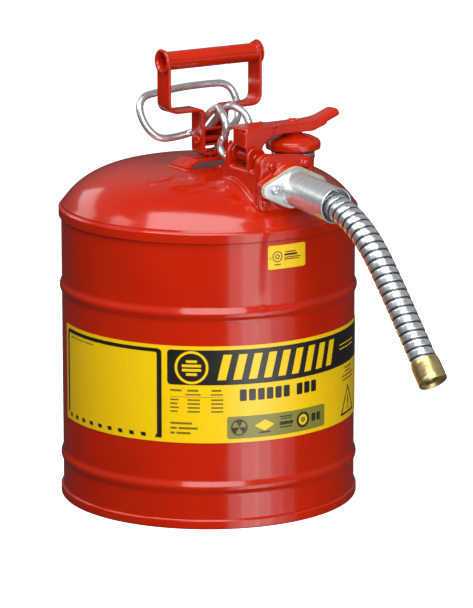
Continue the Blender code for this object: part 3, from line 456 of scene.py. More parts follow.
class Look:
    """A small builder for one Principled material."""

    def __init__(self, name, colour, metallic, roughness, **sockets):
        self.material = bpy.data.materials.new(name)
        self.material.use_nodes = True
        self.tree = self.material.node_tree
        self.shader = self.tree.nodes["Principled BSDF"]
        self.set("Base Color", (*colour, 1.0))
        self.set("Metallic", metallic)
        self.set("Roughness", roughness)
        for key, value in sockets.items():
            self.set(key.replace("_", " "), value)
        self.place = None
        self.normal = None

    def set(self, socket, value):
        self.shader.inputs[socket].default_value = value

    def node(self, kind, **values):
        made = self.tree.nodes.new(kind)
        for key, value in values.items():
            if key in made.inputs:
                made.inputs[key].default_value = value
            else:
                setattr(made, key, value)
        return made

    def wire(self, source, target):
        self.tree.links.new(source, target)

    def coordinates(self, scale):
        if self.place is None:
            self.place = self.node("ShaderNodeTexCoord")
        mapping = self.node("ShaderNodeMapping", Scale=scale)
        self.wire(self.place.outputs["Object"], mapping.inputs["Vector"])
        return mapping.outputs["Vector"]

    def noise(self, scale, detail, stretch=(1, 1, 1)):
        made = self.node("ShaderNodeTexNoise", Scale=scale, Detail=detail)
        self.wire(self.coordinates(stretch), made.inputs["Vector"])
        return made.outputs["Fac"]

    def ramp(self, source, low, high, first, last):
        span = {"From Min": low, "From Max": high, "To Min": first, "To Max": last}
        made = self.node("ShaderNodeMapRange", **span)
        self.wire(source, made.inputs["Value"])
        return made.outputs["Result"]

    def vary_roughness(self, source, low, high, span=(0.3, 0.7)):
        self.wire(self.ramp(source, *span, low, high), self.shader.inputs["Roughness"])
        return self

    def vary_colour(self, source, first, last, span=(0.35, 0.65)):
        mixer = self.node("ShaderNodeMix", data_type="RGBA")
        mixer.inputs[6].default_value = (*first, 1.0)
        mixer.inputs[7].default_value = (*last, 1.0)
        self.wire(self.ramp(source, *span, 0.0, 1.0), mixer.inputs[0])
        self.wire(mixer.outputs[2], self.shader.inputs["Base Color"])
        return self

    def bump(self, source, distance, strength):
        made = self.node("ShaderNodeBump", Strength=strength, Distance=distance)
        self.wire(source, made.inputs["Height"])
        if self.normal is not None:
            self.wire(self.normal, made.inputs["Normal"])
        self.normal = made.outputs["Normal"]
        self.wire(self.normal, self.shader.inputs["Normal"])
        return self


def enamel(name, wave=0.00005, rough=(0.13, 0.2)):
    look = Look(name, (0.5, 0.015, 0.0006), 0.0, 0.16, Coat_Weight=0.3, Coat_Roughness=0.05)
    look.vary_colour(look.noise(14, 2), (0.48, 0.0135, 0.0004), (0.53, 0.0165, 0.0009))
    look.vary_roughness(look.noise(60, 3), *rough)
    look.bump(look.noise(230, 2), wave, 0.5)
    look.bump(look.noise(1500, 1), 0.00001, 0.35)
    return look.material


def bright_zinc(name, roughness, colour, scale=500, depth=0.00002, stretch=(1, 1, 1)):
    look = Look(name, colour, 0.8, 0.3)
    dark = tuple(c * 0.85 for c in colour)
    look.vary_colour(look.noise(90, 4, stretch), dark, colour)
    look.vary_roughness(look.noise(scale * 0.5, 4, stretch), *roughness)
    look.bump(look.noise(scale, 3, stretch), depth, 0.6)
    return look.material


def zinc_with_painted_groove_shade():
    """Zinc plate with painted shade: darker where one turn of the winding tucks under the next."""
    look = Look("zinc_hose", (0.84, 0.87, 0.9), 0.86, 0.26)
    depth = look.node("ShaderNodeAttribute", attribute_name="groove_shade_depth").outputs["Fac"]
    # Painted shade: the colour goes dark toward the groove bottoms and a little darker at the band edges.
    look.vary_colour(depth, (0.84, 0.88, 0.91), (0.11, 0.12, 0.13), (0.1, 0.75))
    look.vary_roughness(look.noise(300, 4), 0.2, 0.34)
    look.bump(look.noise(600, 3), 0.000005, 0.6)
    return look.material


def gate_brass():
    look = Look("brass", (0.7, 0.53, 0.2), 0.9, 0.3)
    look.vary_colour(look.noise(160, 4), (0.62, 0.48, 0.19), (0.76, 0.62, 0.29))
    look.vary_roughness(look.noise(400, 4), 0.26, 0.4)
    look.bump(look.noise(700, 2), 0.000008, 0.6)
    return look.material


def printed(name, colour, roughness=0.3):
    look = Look(name, colour, 0.0, roughness, Coat_Weight=0.25, Coat_Roughness=0.12)
    look.vary_roughness(look.noise(180, 3), roughness - 0.05, roughness + 0.08)
    look.bump(look.noise(320, 2), 0.000012, 0.5)
    return look.material


def gasket_fibre():
    look = Look("gasket_fibre", (0.56, 0.43, 0.25), 0.0, 0.85)
    look.vary_colour(look.noise(900, 5), (0.45, 0.32, 0.16), (0.66, 0.53, 0.33))
    look.bump(look.noise(1400, 4), 0.00008, 0.8)
    return look.material


def black_rubber():
    look = Look("black_rubber", (0.02, 0.02, 0.02), 0.0, 0.6)
    look.vary_roughness(look.noise(400, 3), 0.5, 0.72)
    look.bump(look.noise(900, 2), 0.00003, 0.6)
    return look.material


RED = enamel("red_enamel")
RED_CAST = enamel("red_enamel_cast", 0.00012, (0.15, 0.24))
RED_PIECE = enamel("red_enamel_steel", 0.00006, (0.14, 0.22))
ZINC = bright_zinc("zinc_wire", (0.17, 0.27), (0.86, 0.89, 0.91), 700, 0.000003)
ZINC_TURNED = bright_zinc("zinc_turned", (0.24, 0.38), (0.86, 0.9, 0.93), 420, stretch=(0.06, 0.06, 2.4))
ZINC_HOSE = zinc_with_painted_groove_shade()
STEEL = bright_zinc("plain_steel", (0.26, 0.42), (0.5, 0.5, 0.51), 300)
BRASS = gate_brass()
FIBRE = gasket_fibre()
RUBBER = black_rubber()
YELLOW = printed("label_yellow", (0.95, 0.61, 0.002))
BLACK = printed("label_black", (0.012, 0.011, 0.01), 0.32)
OLIVE = printed("label_olive", (0.24, 0.22, 0.035), 0.34)
GREY = printed("label_grey_print", (0.2, 0.15, 0.01), 0.34)


# ---------------------------------------------------------------- cutters and parts of castings


def drill(radius, x, y, low, high, placing=None, facets=24):
    """A round cutter along local Z."""
    return slab("c", circle(radius, x, y, facets), low, high, RED, placing)


def lump(outline, low, high, placing=None, bevel=0.0):
    """A slab that a casting is melted from."""
    return slab("p", outline, low, high, RED_CAST, placing, bevel=bevel)


# ---------------------------------------------------------------- camera


def make_camera():
    made = bpy.data.objects.new("camera", bpy.data.cameras.new("camera"))
    scene.collection.objects.link(made)
    made.location = (-1.9682, -3.0308, 1.0316)
    made.rotation_euler = (math.pi / 2 - 0.2284, 0, -(math.radians(33) + 0.0078))
    made.data.sensor_width = 36
    made.data.lens = 219.0
    made.data.clip_start = 0.1
    made.data.clip_end = 50
    scene.camera = made


# ---------------------------------------------------------------- hose


def hose_path():
    lead, *route = [(SPOUT[0], y, z) for y, z in (HOSE_LEAD, *HOSE_ROUTE)]
    return smooth_path(route, 3, lead)


def hose_groove(turns):
    """How deep the winding is at a number of turns: a crowned band, a step down and a slope back up."""
    t = turns % 1.0
    if t < 0.66:
        return 0.14 * (2 * t / 0.66 - 1) ** 2
    if t < 0.73:
        return 0.14 + 0.86 * smooth_step((t - 0.66) / 0.07)
    if t < 0.82:
        return 1.0
    return 0.14 + 0.86 * smooth_step((1.0 - t) / 0.18)


def make_hose():
    """The strip-wound hose: a band wound in a screw, each turn hooked over the last."""
    path = hose_path()
    fine = smooth_path([tuple(p) for p in path], 6)
    points, reached = evenly(fine, 0.00036)
    frames = frames_along(points, (1, 0, 0))
    sides = 64
    rows, groove_shade_depths = [], []
    for point, s, (along, side, up) in zip(points, reached, frames):
        row = []
        for k, t in enumerate(around(sides)):
            depth = hose_groove(s / HOSE_PITCH + k / sides)
            # The same depth is kept to paint shade into the zinc's colour in the grooves.
            groove_shade_depths.append(depth)
            r = HOSE_R - HOSE_GROOVE * depth
            row.append(point + r * (side * math.cos(t) + up * math.sin(t)))
        rows.append(row)
    end, (along, side, up) = points[-1], frames[-1]
    for r, back in ((0.0102, 0.0), (0.0098, 0.0012), (0.0098, 0.012)):
        rows.append([end - along * back + r * (side * math.cos(t) + up * math.sin(t)) for t in around(sides)])
    hose = from_bmesh("hose_winding", grid(rows, capped=True), ZINC_HOSE, degrees=70)
    winding = hose.data.attributes.new("groove_shade_depth", "FLOAT", "POINT")
    # The inner rings at the hose end get full depth, which is painted shade inside the mouth.
    winding.data.foreach_set("value", groove_shade_depths + [1.0] * (len(hose.data.vertices) - len(groove_shade_depths)))
    stands_for(hose, "hose")
    return hose, [tuple(p) for p in path]


def make_ferrule(path):
    before, end = Vector(path[-2]), Vector(path[-1])
    along = (end - before).normalized()
    placing = Matrix.Translation(end + along * 0.0003) @ along.to_track_quat("Z", "Y").to_matrix().to_4x4()
    profile = fillet(
        [
            (0.01, -0.0012), (0.0131, -0.0012), (0.0134, 0.0006), (0.0139, 0.003), (0.01395, 0.0165),
            (0.0136, 0.0176), (0.0139, 0.0186), (0.0141, 0.0205), (0.0136, 0.0221), (0.012, 0.0221),
            (0.0112, 0.0206), (0.0104, 0.019), (0.0104, 0.015), (0.0098, 0.014), (0.0098, -0.0012),
        ],
        0.0006,
        4,
        closed=True,
    )

    def dented(x, y, z):
        angle = math.atan2(y, x)
        pinch = 0.00018 * math.exp(-(((z - 0.008) / 0.004) ** 2)) * math.cos(3 * angle + 0.8)
        r = math.hypot(x, y)
        return (x * (1 + pinch / r), y * (1 + pinch / r), z)

    ferrule = lathe("hose_end_ferrule", profile, BRASS, placing, 96, closed=True, shape=dented)
    return stands_for(ferrule, "hose_ferrule")


def diamond(core, tip_x, tip_r):
    return hull_of_circles(((0, 0, core), (-tip_x, 0, tip_r), (tip_x, 0, tip_r)), 64)


def make_sleeve():
    """The thin spout tube, rolled at its mouth, standing on a two-bolt flange."""
    wall = [
        (SLEEVE_R + 0.0006, 0.0022), (SLEEVE_R + 0.0001, 0.003), (SLEEVE_R, 0.0052),
        (SLEEVE_R, SLEEVE_LENGTH - 0.0016), (SLEEVE_R + 0.0002, SLEEVE_LENGTH - 0.0004),
        (SLEEVE_R - 0.0003, SLEEVE_LENGTH), (SLEEVE_BORE_R, SLEEVE_LENGTH - 0.0003),
        (SLEEVE_BORE_R, 0.0002), (SLEEVE_R + 0.0006, 0.0002),
    ]
    pipe = lathe("pipe", fillet(wall, 0.0004, 3, closed=True), ZINC_TURNED, along_spout(), 128, closed=True)
    holes = [circle(SCREW_R + 0.0003, x, 0, 24) for x in (-BOLT_X, BOLT_X)]
    holes.append(circle(SLEEVE_BORE_R + 0.0002, 0, 0, 64))
    flange = slab(
        "flange", diamond(0.0198, 0.029, 0.0075), 0, 0.0024, ZINC_TURNED, along_spout(), holes, bevel=0.0005
    )
    sleeve = merged("spout_sleeve_tube", [pipe, flange], ZINC_TURNED, along_spout())
    return stands_for(sleeve, "spout_sleeve")


make_camera()
hose, hose_points = make_hose()
ferrule = make_ferrule(hose_points)
sleeve = make_sleeve()


# ---------------------------------------------------------------- can


def make_shell():
    outer = [(BODY_R - 0.0009, TOP_CHIME_Z + 0.0057), (BODY_R, TOP_CHIME_Z + 0.0057)]
    heights = [TOP_CHIME_Z - 0.004]
    for centre in reversed(BEADS):
        heights += [centre + BEAD_HALF * 1.25 * (1 - 2 * k / 28) for k in range(29)]
    heights += [0.15, 0.025, 0.0102, 0.0025]
    for z in sorted(set(heights), reverse=True):
        bulge = 0.0
        for centre in BEADS:
            t = (z - centre) / (BEAD_HALF * 1.15)
            if abs(t) < 1:
                bulge = BEAD_PROUD * (0.5 + 0.5 * math.cos(math.pi * t)) ** 1.15
        outer.append((BODY_R + bulge, z))
    outer.append((BODY_R - 0.0009, 0.0025))

    def seam(x, y, z):
        off = math.degrees(math.atan2(y, x)) - SEAM_DEG
        lift = SEAM_PROUD * math.exp(-((off / SEAM_HALF_DEG) ** 2))
        r = math.hypot(x, y)
        return (x * (1 + lift / r), y * (1 + lift / r), z)

    shell = lathe("can_side", outer, RED, turns=360, degrees=30, shape=seam)
    return stands_for(shell, "body_shell")


def make_bottom():
    profile = fillet(
        [
            (0, 0.0095), (0.12, 0.0095), (0.144, 0.009), (0.1445, 0.0004), (0.1452, 0.0),
            (0.1484, 0.0), (CHIME_R, 0.0012), (CHIME_R, 0.0082), (0.1482, CHIME_H),
            (0.1469, CHIME_H + 0.0003), (0.1465, CHIME_H - 0.0006),
        ],
        0.0011,
        5,
    )
    bottom = lathe("can_bottom", profile, RED, turns=240, degrees=45)
    return stands_for(bottom, "bottom_head")


def dome_z(radius):
    return 0.294 + 0.042 * (1 - min(radius / 0.1475, 1.0) ** 4.42) ** 0.843


def bump_at(x, y, cx, cy, rx, ry, turn=0.0, power=2.0):
    """1 at the centre of a turned ellipse and falling off round it."""
    c, s = math.cos(turn), math.sin(turn)
    u, v = ((x - cx) * c + (y - cy) * s) / rx, (-(x - cx) * s + (y - cy) * c) / ry
    return math.exp(-((u * u + v * v) ** (power / 2)))


def dome_relief(x, y, z):
    """The pressings in the dome: the casting's raised seat, a ridge, two dimples and a knob."""
    r = math.hypot(x, y)
    if r > 0.1405:
        return (x, y, z)
    fade = smooth_step((0.1405 - r) / 0.012)
    seat = 0.003 * smooth_step((1.04 - math.hypot((x - 0.006) / 0.043, (y + 0.099) / 0.04)) / 0.3)
    nose = 0.0026 * bump_at(x, y, -0.027, -0.108, 0.0045, 0.024, 0.16)
    ridge = 0.0
    for k in range(9):
        t = k / 8
        cx, cy = -0.089 + 0.028 * t, -0.03 - 0.01 * math.sin(math.pi * t * 0.9)
        ridge = max(ridge, 0.0013 * bump_at(x, y, cx, cy, 0.0034, 0.0016))
    dimples = -0.0006 * bump_at(x, y, -0.076, -0.068, 0.004, 0.006, 0.5)
    dimples -= 0.0006 * bump_at(x, y, -0.052, -0.086, 0.003, 0.005, 0.5)
    knob = 0.0035 * bump_at(x, y, -0.004, -0.029, 0.0036, 0.0032, 0.0, 3)
    return (x, y, z + fade * (max(seat, nose) + ridge + dimples) + knob)


def make_dome():
    radii = spread(0.0, 0.144, 118)
    profile = [(r, dome_z(r)) for r in radii]
    rim = fillet(
        [
            (0.144, dome_z(0.144)), (0.1462, 0.2975), (0.1466, 0.2952), (0.148, 0.295),
            (CHIME_R, 0.2938), (CHIME_R, 0.2852), (0.1484, TOP_CHIME_Z),
            (0.147, TOP_CHIME_Z + 0.0002), (0.1466, TOP_CHIME_Z + 0.001),
        ],
        0.0009,
        4,
    )
    profile += rim[1:]
    turns = 420
    dome = lathe("can_dome", profile, RED, turns=turns, degrees=60, shape=dome_relief)
    bm = bmesh.new()
    bm.from_mesh(dome.data)
    gone = []
    for face in bm.faces:
        c = face.calc_center_median()
        if c.z > 0.31 and math.hypot(c.x - FILL[0], c.y - FILL[1]) < 0.0186:
            gone.append(face)
    bmesh.ops.delete(bm, geom=gone, context="FACES")
    bm.to_mesh(dome.data)
    bm.free()
    return stands_for(dome, "top_dome")


make_shell()
make_bottom()
make_dome()


# ---------------------------------------------------------------- labels


def film(name, shapes, lift, look, nodes=()):
    """Flat shapes wrapped on the can, in metres round it and up. Each is an outline, or a list of loops."""
    bm = bmesh.new()
    for shape in shapes:
        loops = shape if isinstance(shape[0][0], (list, tuple)) else [shape]
        flat = [[Vector((*point, 0)) for point in loop] for loop in loops]
        verts = [bm.verts.new(point) for loop in flat for point in loop]
        for triangle in tessellate_polygon(flat):
            bm.faces.new([verts[k] for k in triangle])
    low, high = min(v.co.x for v in bm.verts), max(v.co.x for v in bm.verts)
    x = math.floor(low / FILM_STEP) * FILM_STEP + FILM_STEP
    while x < high:
        whole = [*bm.verts, *bm.edges, *bm.faces]
        bmesh.ops.bisect_plane(bm, geom=whole, plane_co=(x, 0, 0), plane_no=(1, 0, 0))
        x += FILM_STEP
    bmesh.ops.remove_doubles(bm, verts=bm.verts, dist=1e-7)
    bmesh.ops.recalc_face_normals(bm, faces=bm.faces)
    if sum(f.normal.z for f in bm.faces) < 0:
        bmesh.ops.reverse_faces(bm, faces=bm.faces)
    for v in bm.verts:
        angle = math.radians(VIEW_DEG) + v.co.x / LABEL_R
        v.co = Vector(((LABEL_R + lift) * math.cos(angle), (LABEL_R + lift) * math.sin(angle), v.co.y))
    mesh = bpy.data.meshes.new(name)
    bm.to_mesh(mesh)
    bm.free()
    obj = link(name, mesh, look)
    made = obj.modifiers.new("thick", "SOLIDIFY")
    made.thickness = FILM_T
    made.offset = -1.0
    return stands_for(settled(obj, 40), nodes)


def box(u0, u1, z0, z1, r=0.0, steps=5):
    corners = [(u0, z0), (u1, z0), (u1, z1), (u0, z1)]
    return fillet(corners, r, steps, closed=True) if r else corners


def leaning(u0, u1, z0, z1, lean):
    return [(u0, z0), (u1, z0), (u1 + lean, z1), (u0 + lean, z1)]


def ring_shape(u, z, outer, inner, facets):
    return [circle(outer, u, z, facets), circle(inner, u, z, facets)]


def words(u0, z, height, lengths, space):
    """Greeked text: bars the length of words on one line."""
    found = []
    for length in lengths:
        found.append(box(u0, u0 + length, z, z + height, height * 0.3, 2))
        u0 += length + space
    return found


def make_main_label():
    film("main_label_film", [box(-0.1865, 0.2245, 0.0869, 0.1836, 0.0025)], 0.0, YELLOW, nodes="main_label")
    black, grey, yellow, olive = [], [], [], []
    # Blank box on the left, with a dashed foot
    left, right, top, foot = -0.181, -0.0462, 0.18, 0.0915
    w, r = 0.0037, 0.0052
    outer = fillet([(left, foot + 0.004), (left, top), (right, top), (right, foot)], [0, r, r, 0], 6)
    inner = fillet(
        [(right - 0.005, foot), (right - 0.005, top - w), (left + w, top - w), (left + w, foot + 0.004)],
        [0, r * 0.45, r * 0.45, 0],
        6,
    )
    black.append(outer + inner)
    black.append([
        (right - w - 0.0036, foot - 0.0006), (right - 0.0008, foot - 0.0006), (right, foot + 0.0004),
        (right, foot + 0.003), (right - w - 0.002, foot + 0.003),
    ])
    for k in range(9):
        u = left + 0.006 + 0.0134 * k
        black.append(leaning(u, u + 0.0052, foot - 0.0006, foot + 0.0032, -0.0008))
    grey += words(left + 0.0085, 0.1722, 0.0011, (0.011, 0.016, 0.014), 0.0014)
    # Black band with stacked bars in a ring, slanting bars and two rules
    black.append(box(-0.0405, 0.2185, 0.145, 0.1798, 0.004))
    centre = (-0.0165, 0.1624)
    yellow.append(ring_shape(*centre, 0.0165, 0.014, 64))
    for k, half in enumerate((0.0055, 0.0095, 0.0095, 0.0055)):
        z = centre[1] - 0.0082 + 0.0043 * k
        yellow.append(box(centre[0] - half, centre[0] + half, z, z + 0.0027, 0.0008, 3))
    for k in range(9):
        u = 0.0085 + 0.01545 * k
        yellow.append(leaning(u, u + 0.0084, 0.15, 0.1752, 0.006))
    for z in (0.1655, 0.1612):
        yellow.append(box(0.1575, 0.196, z, z + 0.0011))
    # Heading in bars, a small table and three short lines under the band
    u = 0.0305
    for k in range(10):
        if k == 6:
            u += 0.0062
            continue
        black.append(box(u, u + 0.007, 0.1283, 0.14, 0.0016, 4))
        u += 0.0092
    for u, length in ((-0.0376, 0.0115), (-0.0208, 0.011), (0.003, 0.0095)):
        grey += words(u, 0.1385, 0.0019, (length,), 0)
    for u, length in ((-0.0225, 0.015), (0.002, 0.012)):
        grey += words(u, 0.1347, 0.0014, (length,), 0)
    grey.append(box(-0.0376, 0.0148, 0.1328, 0.1332))
    for k in range(4):
        z = 0.1293 - 0.0039 * k
        for u, length in ((-0.0376, 0.0085 - 0.0012 * (k % 2)), (-0.0205, 0.0122), (0.0026, 0.0118)):
            grey += words(u, z, 0.0016, (length,), 0)
    for z, lengths in ((0.1055, (0.0215,)), (0.1006, (0.0065, 0.019)), (0.0957, (0.0045, 0.014))):
        grey += words(-0.0376, z, 0.0021, lengths, 0.0016)
    # Olive box with a ring of three wedges, a diamond, stacked bars, and a double ring with two blocks
    olive.append(box(0.018, 0.1303, 0.0908, 0.1132, 0.0028))
    wheel = (0.03, 0.102)
    black.append(ring_shape(*wheel, 0.0082, 0.0068, 36))
    for k in range(3):
        turn = math.radians(90 + 120 * k)
        wedge = [wheel] + [
            (wheel[0] + 0.0068 * math.cos(turn + a), wheel[1] + 0.0068 * math.sin(turn + a))
            for a in spread(-0.5, 0.5, 7)
        ]
        black.append([tuple(p) for p in wedge])
    d = (0.056, 0.1026)
    yellow.append([(d[0] + u, d[1] + z) for u, z in ((-0.0105, 0), (0, -0.0056), (0.0105, 0), (0, 0.0056))])
    black.append(box(d[0] - 0.0026, d[0] + 0.0026, d[1] - 0.0013, d[1] + 0.0013, 0.0004, 2))
    black += words(d[0] - 0.006, 0.0948, 0.0016, (0.012,), 0)
    stack = (
        (0.1083, 0.0075, 0.0012), (0.1062, 0.006, 0.001),
        (0.1003, 0.0078, 0.0036), (0.0976, 0.007, 0.0012),
    )
    for z, half, tall in stack:
        black += words(0.0798 - half, z, tall, (2 * half,), 0)
    g = (0.0998, 0.1022)
    black.append(ring_shape(*g, 0.008, 0.0054, 36))
    yellow.append(ring_shape(*g, 0.0053, 0.003, 36))
    for u in (0.111, 0.1182):
        black.append(box(u, u + 0.0052, 0.0985, 0.1065, 0.0016, 4))
    # Triangle with a bar and a dot, and small lines above it, at the right
    t = [(0.1608, 0.0925), (0.1985, 0.0925), (0.1796, 0.1225)]
    i = [(0.1646, 0.0947), (0.1947, 0.0947), (0.1796, 0.1187)]
    black.append([fillet(t, 0.0012, 4, closed=True), i])
    black.append(box(0.1784, 0.1809, 0.1015, 0.1105, 0.001, 3))
    black.append(circle(0.0014, 0.1796, 0.0985, 16))
    for k, (u, length) in enumerate(((0.17, 0.02), (0.1712, 0.017), (0.164, 0.033), (0.1655, 0.03))):
        grey += words(u, 0.1395 - 0.004 * k, 0.0017, (length,), 0)
    film("main_label_black", black, 0.00007, BLACK)
    film("main_label_olive", olive, 0.00007, OLIVE)
    film("main_label_fine_print", grey, 0.00007, GREY)
    film("main_label_yellow_print", yellow, 0.00015, YELLOW)


def make_small_label():
    film("small_label_film", [box(0.059, 0.1018, 0.2565, 0.28, 0.0024)], 0.0, YELLOW, nodes="small_label")
    black = [ring_shape(0.0692, 0.2688, 0.0054, 0.0045, 32), ring_shape(0.0692, 0.2688, 0.0024, 0.0014, 20)]
    for u, z, length, tall in (
        (0.078, 0.2722, 0.012, 0.001), (0.0768, 0.269, 0.015, 0.002), (0.0768, 0.2668, 0.019, 0.0009),
        (0.0768, 0.265, 0.017, 0.0009), (0.066, 0.2605, 0.007, 0.001), (0.061, 0.2665, 0.0012, 0.002),
    ):
        black += words(u, z, tall, (length,), 0)
    film("small_label_print", black, 0.00007, BLACK)


make_main_label()
make_small_label()


# ---------------------------------------------------------------- handle


def make_bracket():
    raised = BRACKET_TOP_Z - BRACKET_T / 2
    half = [(0.0265, raised), (0.0365, BRACKET_FOOT_Z), (0.04, BRACKET_FOOT_Z - 0.0004)]
    line = [(-x, z) for x, z in reversed(half)] + half
    path = [Vector(p) for p in fillet(line, [0, 0.004, 0.008, 0.008, 0.004, 0], 6)]
    outline = strip_outline(path, BRACKET_T)
    bracket = slab("dome_bridge", outline, -BRACKET_Y[1], -BRACKET_Y[0], RED_PIECE, facing_front())
    cut(bracket, *[drill(0.0027, x, HANDLE_Y, 0.33, 0.36) for x in (-RIVET_X, RIVET_X)])
    round_edges(bracket, 0.0009)
    weld = []
    for side in (-1, 1):
        path = [(side * 0.0404, y, dome_z(math.hypot(0.0404, y)) - 0.0004) for y in spread(*BRACKET_Y, 9)]
        weld.append(tube("w", path, 0.0015, RED_PIECE, 12))
        for y in BRACKET_Y:
            path = [(side * x, y, dome_z(math.hypot(x, y)) - 0.0004) for x in spread(0.036, 0.0404, 4)]
            weld.append(tube("w", path, 0.0013, RED_PIECE, 12))
    stands_for(merged("bridge_weld", weld, RED_PIECE), ())
    return stands_for(bracket, "dome_bracket")


def make_strap():
    half = [
        (UPRIGHT_X, GRIP_Z + STRAP_W / 2), (UPRIGHT_X, SHOULDER_Z), (STEM_X, SHOULDER_Z),
        (STEM_X, STRAP_BASE_Z),
    ]
    line = [(-x, z) for x, z in half] + half[::-1]
    path = [Vector(p) for p in fillet(line, [0, 0.011, 0.006, 0.005, 0.005, 0.006, 0.011, 0], 8)]
    strap = slab(
        "handle_frame", strip_outline(path, STRAP_T), -HANDLE_Y - STRAP_W / 2, -HANDLE_Y + STRAP_W / 2,
        RED_PIECE, facing_front(),
    )
    bm = bmesh.new()
    bm.from_mesh(strap.data)
    top = GRIP_Z + STRAP_W / 2 - 1e-5
    corners = [
        e for e in bm.edges
        if all(v.co.y > top for v in e.verts) and abs(e.verts[0].co.z - e.verts[1].co.z) < 1e-5
    ]
    bmesh.ops.bevel(bm, geom=corners, offset=STRAP_W * 0.47, segments=10, affect="EDGES", profile=0.5)
    bm.to_mesh(strap.data)
    bm.free()
    cutters = [drill(GRIP_R + 0.0002, HANDLE_Y, GRIP_Z, -0.07, 0.07, facing_right(), 48)]
    cutters.append(drill(PIVOT_R + 0.0002, HANDLE_Y, PIVOT_Z, -0.02, 0.02, facing_right(), 32))
    cutters += [drill(0.0027, x, HANDLE_Y, 0.34, 0.36) for x in (-RIVET_X, RIVET_X)]
    cut(strap, *cutters)
    round_edges(strap, 0.0007, 32)
    return stands_for(strap, "handle_strap")


def make_rivets():
    low = BRACKET_TOP_Z - BRACKET_T - 0.0003
    high = STRAP_BASE_Z + STRAP_T / 2 + 0.0001
    profile = fillet(
        [
            (0, low - 0.0015), (0.0038, low - 0.0011), (0.0045, low), (0.0025, low), (0.0025, high),
            (0.0046, high), (0.0043, high + 0.001), (0.0025, high + 0.0018), (0, high + 0.002),
        ],
        0.0005, 4,
    )
    for side, x in enumerate((-RIVET_X, RIVET_X), 1):
        rivet = lathe(f"base_rivet_{side}", profile, RED_PIECE, at(x, HANDLE_Y), 40)
        stands_for(rivet, f"handle_rivet_{side}")


def make_grip():
    ring = UPRIGHT_X + STRAP_T / 2
    half = [
        (GRIP_R, 0.0), (GRIP_R, ring - 0.0042), (GRIP_R + 0.0005, ring - 0.0035),
        (GRIP_R, ring - 0.0031), (GRIP_R, ring + 0.0003), (0.012, ring + 0.0003),
        (0.0125, ring + 0.001), (0.012, ring + 0.002), (0.0104, ring + 0.0026),
        (0.009, ring + 0.0021), (0.0078, ring + 0.0006), (0.0073, ring - 0.003),
        (0.0072, ring - 0.008), (0.0072, 0.0),
    ]
    line = fillet(half, 0.0009, 5)
    profile = line + [(r, -x) for r, x in reversed(line)][1:-1]
    placing = at(0, HANDLE_Y, GRIP_Z) @ Matrix.Rotation(math.pi / 2, 4, "Y")
    grip = lathe("carry_grip", profile, RED_PIECE, placing, 96, closed=True, degrees=50)
    return stands_for(grip, "grip_tube")


# ---------------------------------------------------------------- trigger and link


def make_trigger():
    half = [
        (0.0134, -0.052, 0.3735), (0.0135, -0.0535, 0.379), (0.0132, -0.052, 0.385),
        (0.0122, -0.046, 0.3915), (0.01, -0.0375, 0.3955), (0.008, -0.0295, 0.3964),
        (0.0076, -0.0205, 0.393), (0.0076, -0.012, 0.387), (0.0076, -0.0035, 0.38),
        (0.0076, 0.006, 0.3715), (0.009, 0.013, 0.3665), (0.015, 0.0175, 0.3642),
        (0.03, 0.019, 0.363), (0.042, 0.0205, 0.364), (0.0503, 0.024, 0.3695), (0.0553, 0.03, 0.379),
        (0.0563, 0.0362, 0.3885), (0.0542, 0.0405, 0.3965), (0.048, 0.0435, 0.402),
        (0.037, 0.0448, 0.4042), (0.0, 0.0455, 0.4056),
    ]
    route = [(x, y, z + LOOP_SKEW * x * (y > 0.015)) for x, y, z in mirrored(half)]
    wire = tube("squeeze_bar", smooth_path(route, 8), WIRE_R, ZINC, 32, spacing=0.0012)
    return stands_for(wire, "trigger_wire", body="trigger")


def make_saddle():
    channel = [
        (-0.012, 0.3735), (-0.0045, 0.3735), (0.0075, 0.364), (0.01, 0.361), (0.01, 0.3545),
        (-0.008, 0.3545), (-0.008, 0.3568), (0.0068, 0.3568), (0.0068, 0.361), (0.0045, 0.364),
        (-0.005, 0.3708), (-0.012, 0.3708),
    ]
    ear = [(-0.01, 0.3722), (-0.005, 0.3722), (0.0084, 0.3615), (0.0084, 0.3555), (-0.007, 0.3555)]
    parts = [slab("p", fillet(channel, 0.0008, 3, closed=True), -0.0106, 0.0106, RED_PIECE, facing_right())]
    for x in (-0.0106, 0.0086):
        parts.append(slab("p", fillet(ear, 0.0012, 4, closed=True), 0, 0.002, RED_PIECE, facing_right(x)))
    bore = drill(PIVOT_R + 0.0002, HANDLE_Y, PIVOT_Z, -0.02, 0.02, facing_right(), 32)
    saddle = cast("squeeze_bar_saddle", parts, RED_PIECE, 0.0004, 3, [bore])
    return stands_for(saddle, "trigger_saddle", body="trigger")


def make_pivot():
    head = [
        (PIVOT_R, 0), (0.005, 0), (0.0052, 0.0007), (0.0044, 0.0016),
        (0.003, 0.0019), (0.0018, 0.0013), (0, 0.0011),
    ]
    profile = headed_pin(head, STEM_X + STRAP_T / 2 + 0.0002, 0.0004)
    placing = at(0, HANDLE_Y, PIVOT_Z) @ Matrix.Rotation(math.pi / 2, 4, "Y")
    pin = lathe("squeeze_bar_pin", profile, RED_PIECE, placing, 48)
    return stands_for(pin, "trigger_pivot_pin")


def make_link():
    half = [
        (0.0125, -0.0475, 0.37), (0.0125, -0.0425, 0.3655), (0.0125, -0.0405, 0.3605),
        (0.0125, -0.0425, 0.356), (0.0125, -0.0485, 0.3525), (0.012, -0.0535, 0.3512),
        (0.0085, -0.056, 0.351), (0.0, STEM_Y, 0.351),
    ]
    wire = tube("valve_pull_link", smooth_path(mirrored(half), 8), LINK_R, ZINC, 28, spacing=0.0008)
    return stands_for(wire, "valve_link", body="valve")


make_bracket()
make_strap()
make_rivets()
make_grip()
make_trigger()
make_saddle()
make_pivot()
make_link()


# ---------------------------------------------------------------- manifold


def chamber_outline():
    left, right = CHAMBER_X
    top, corner = ROOF_Z - 0.005, 0.005
    return hull_of_circles(
        (
            (left + 0.005, top, corner), (right - 0.005, top, corner),
            (left - 0.003, 0.312, 0.001), (right + 0.003, 0.312, 0.001),
        ),
        40,
    )


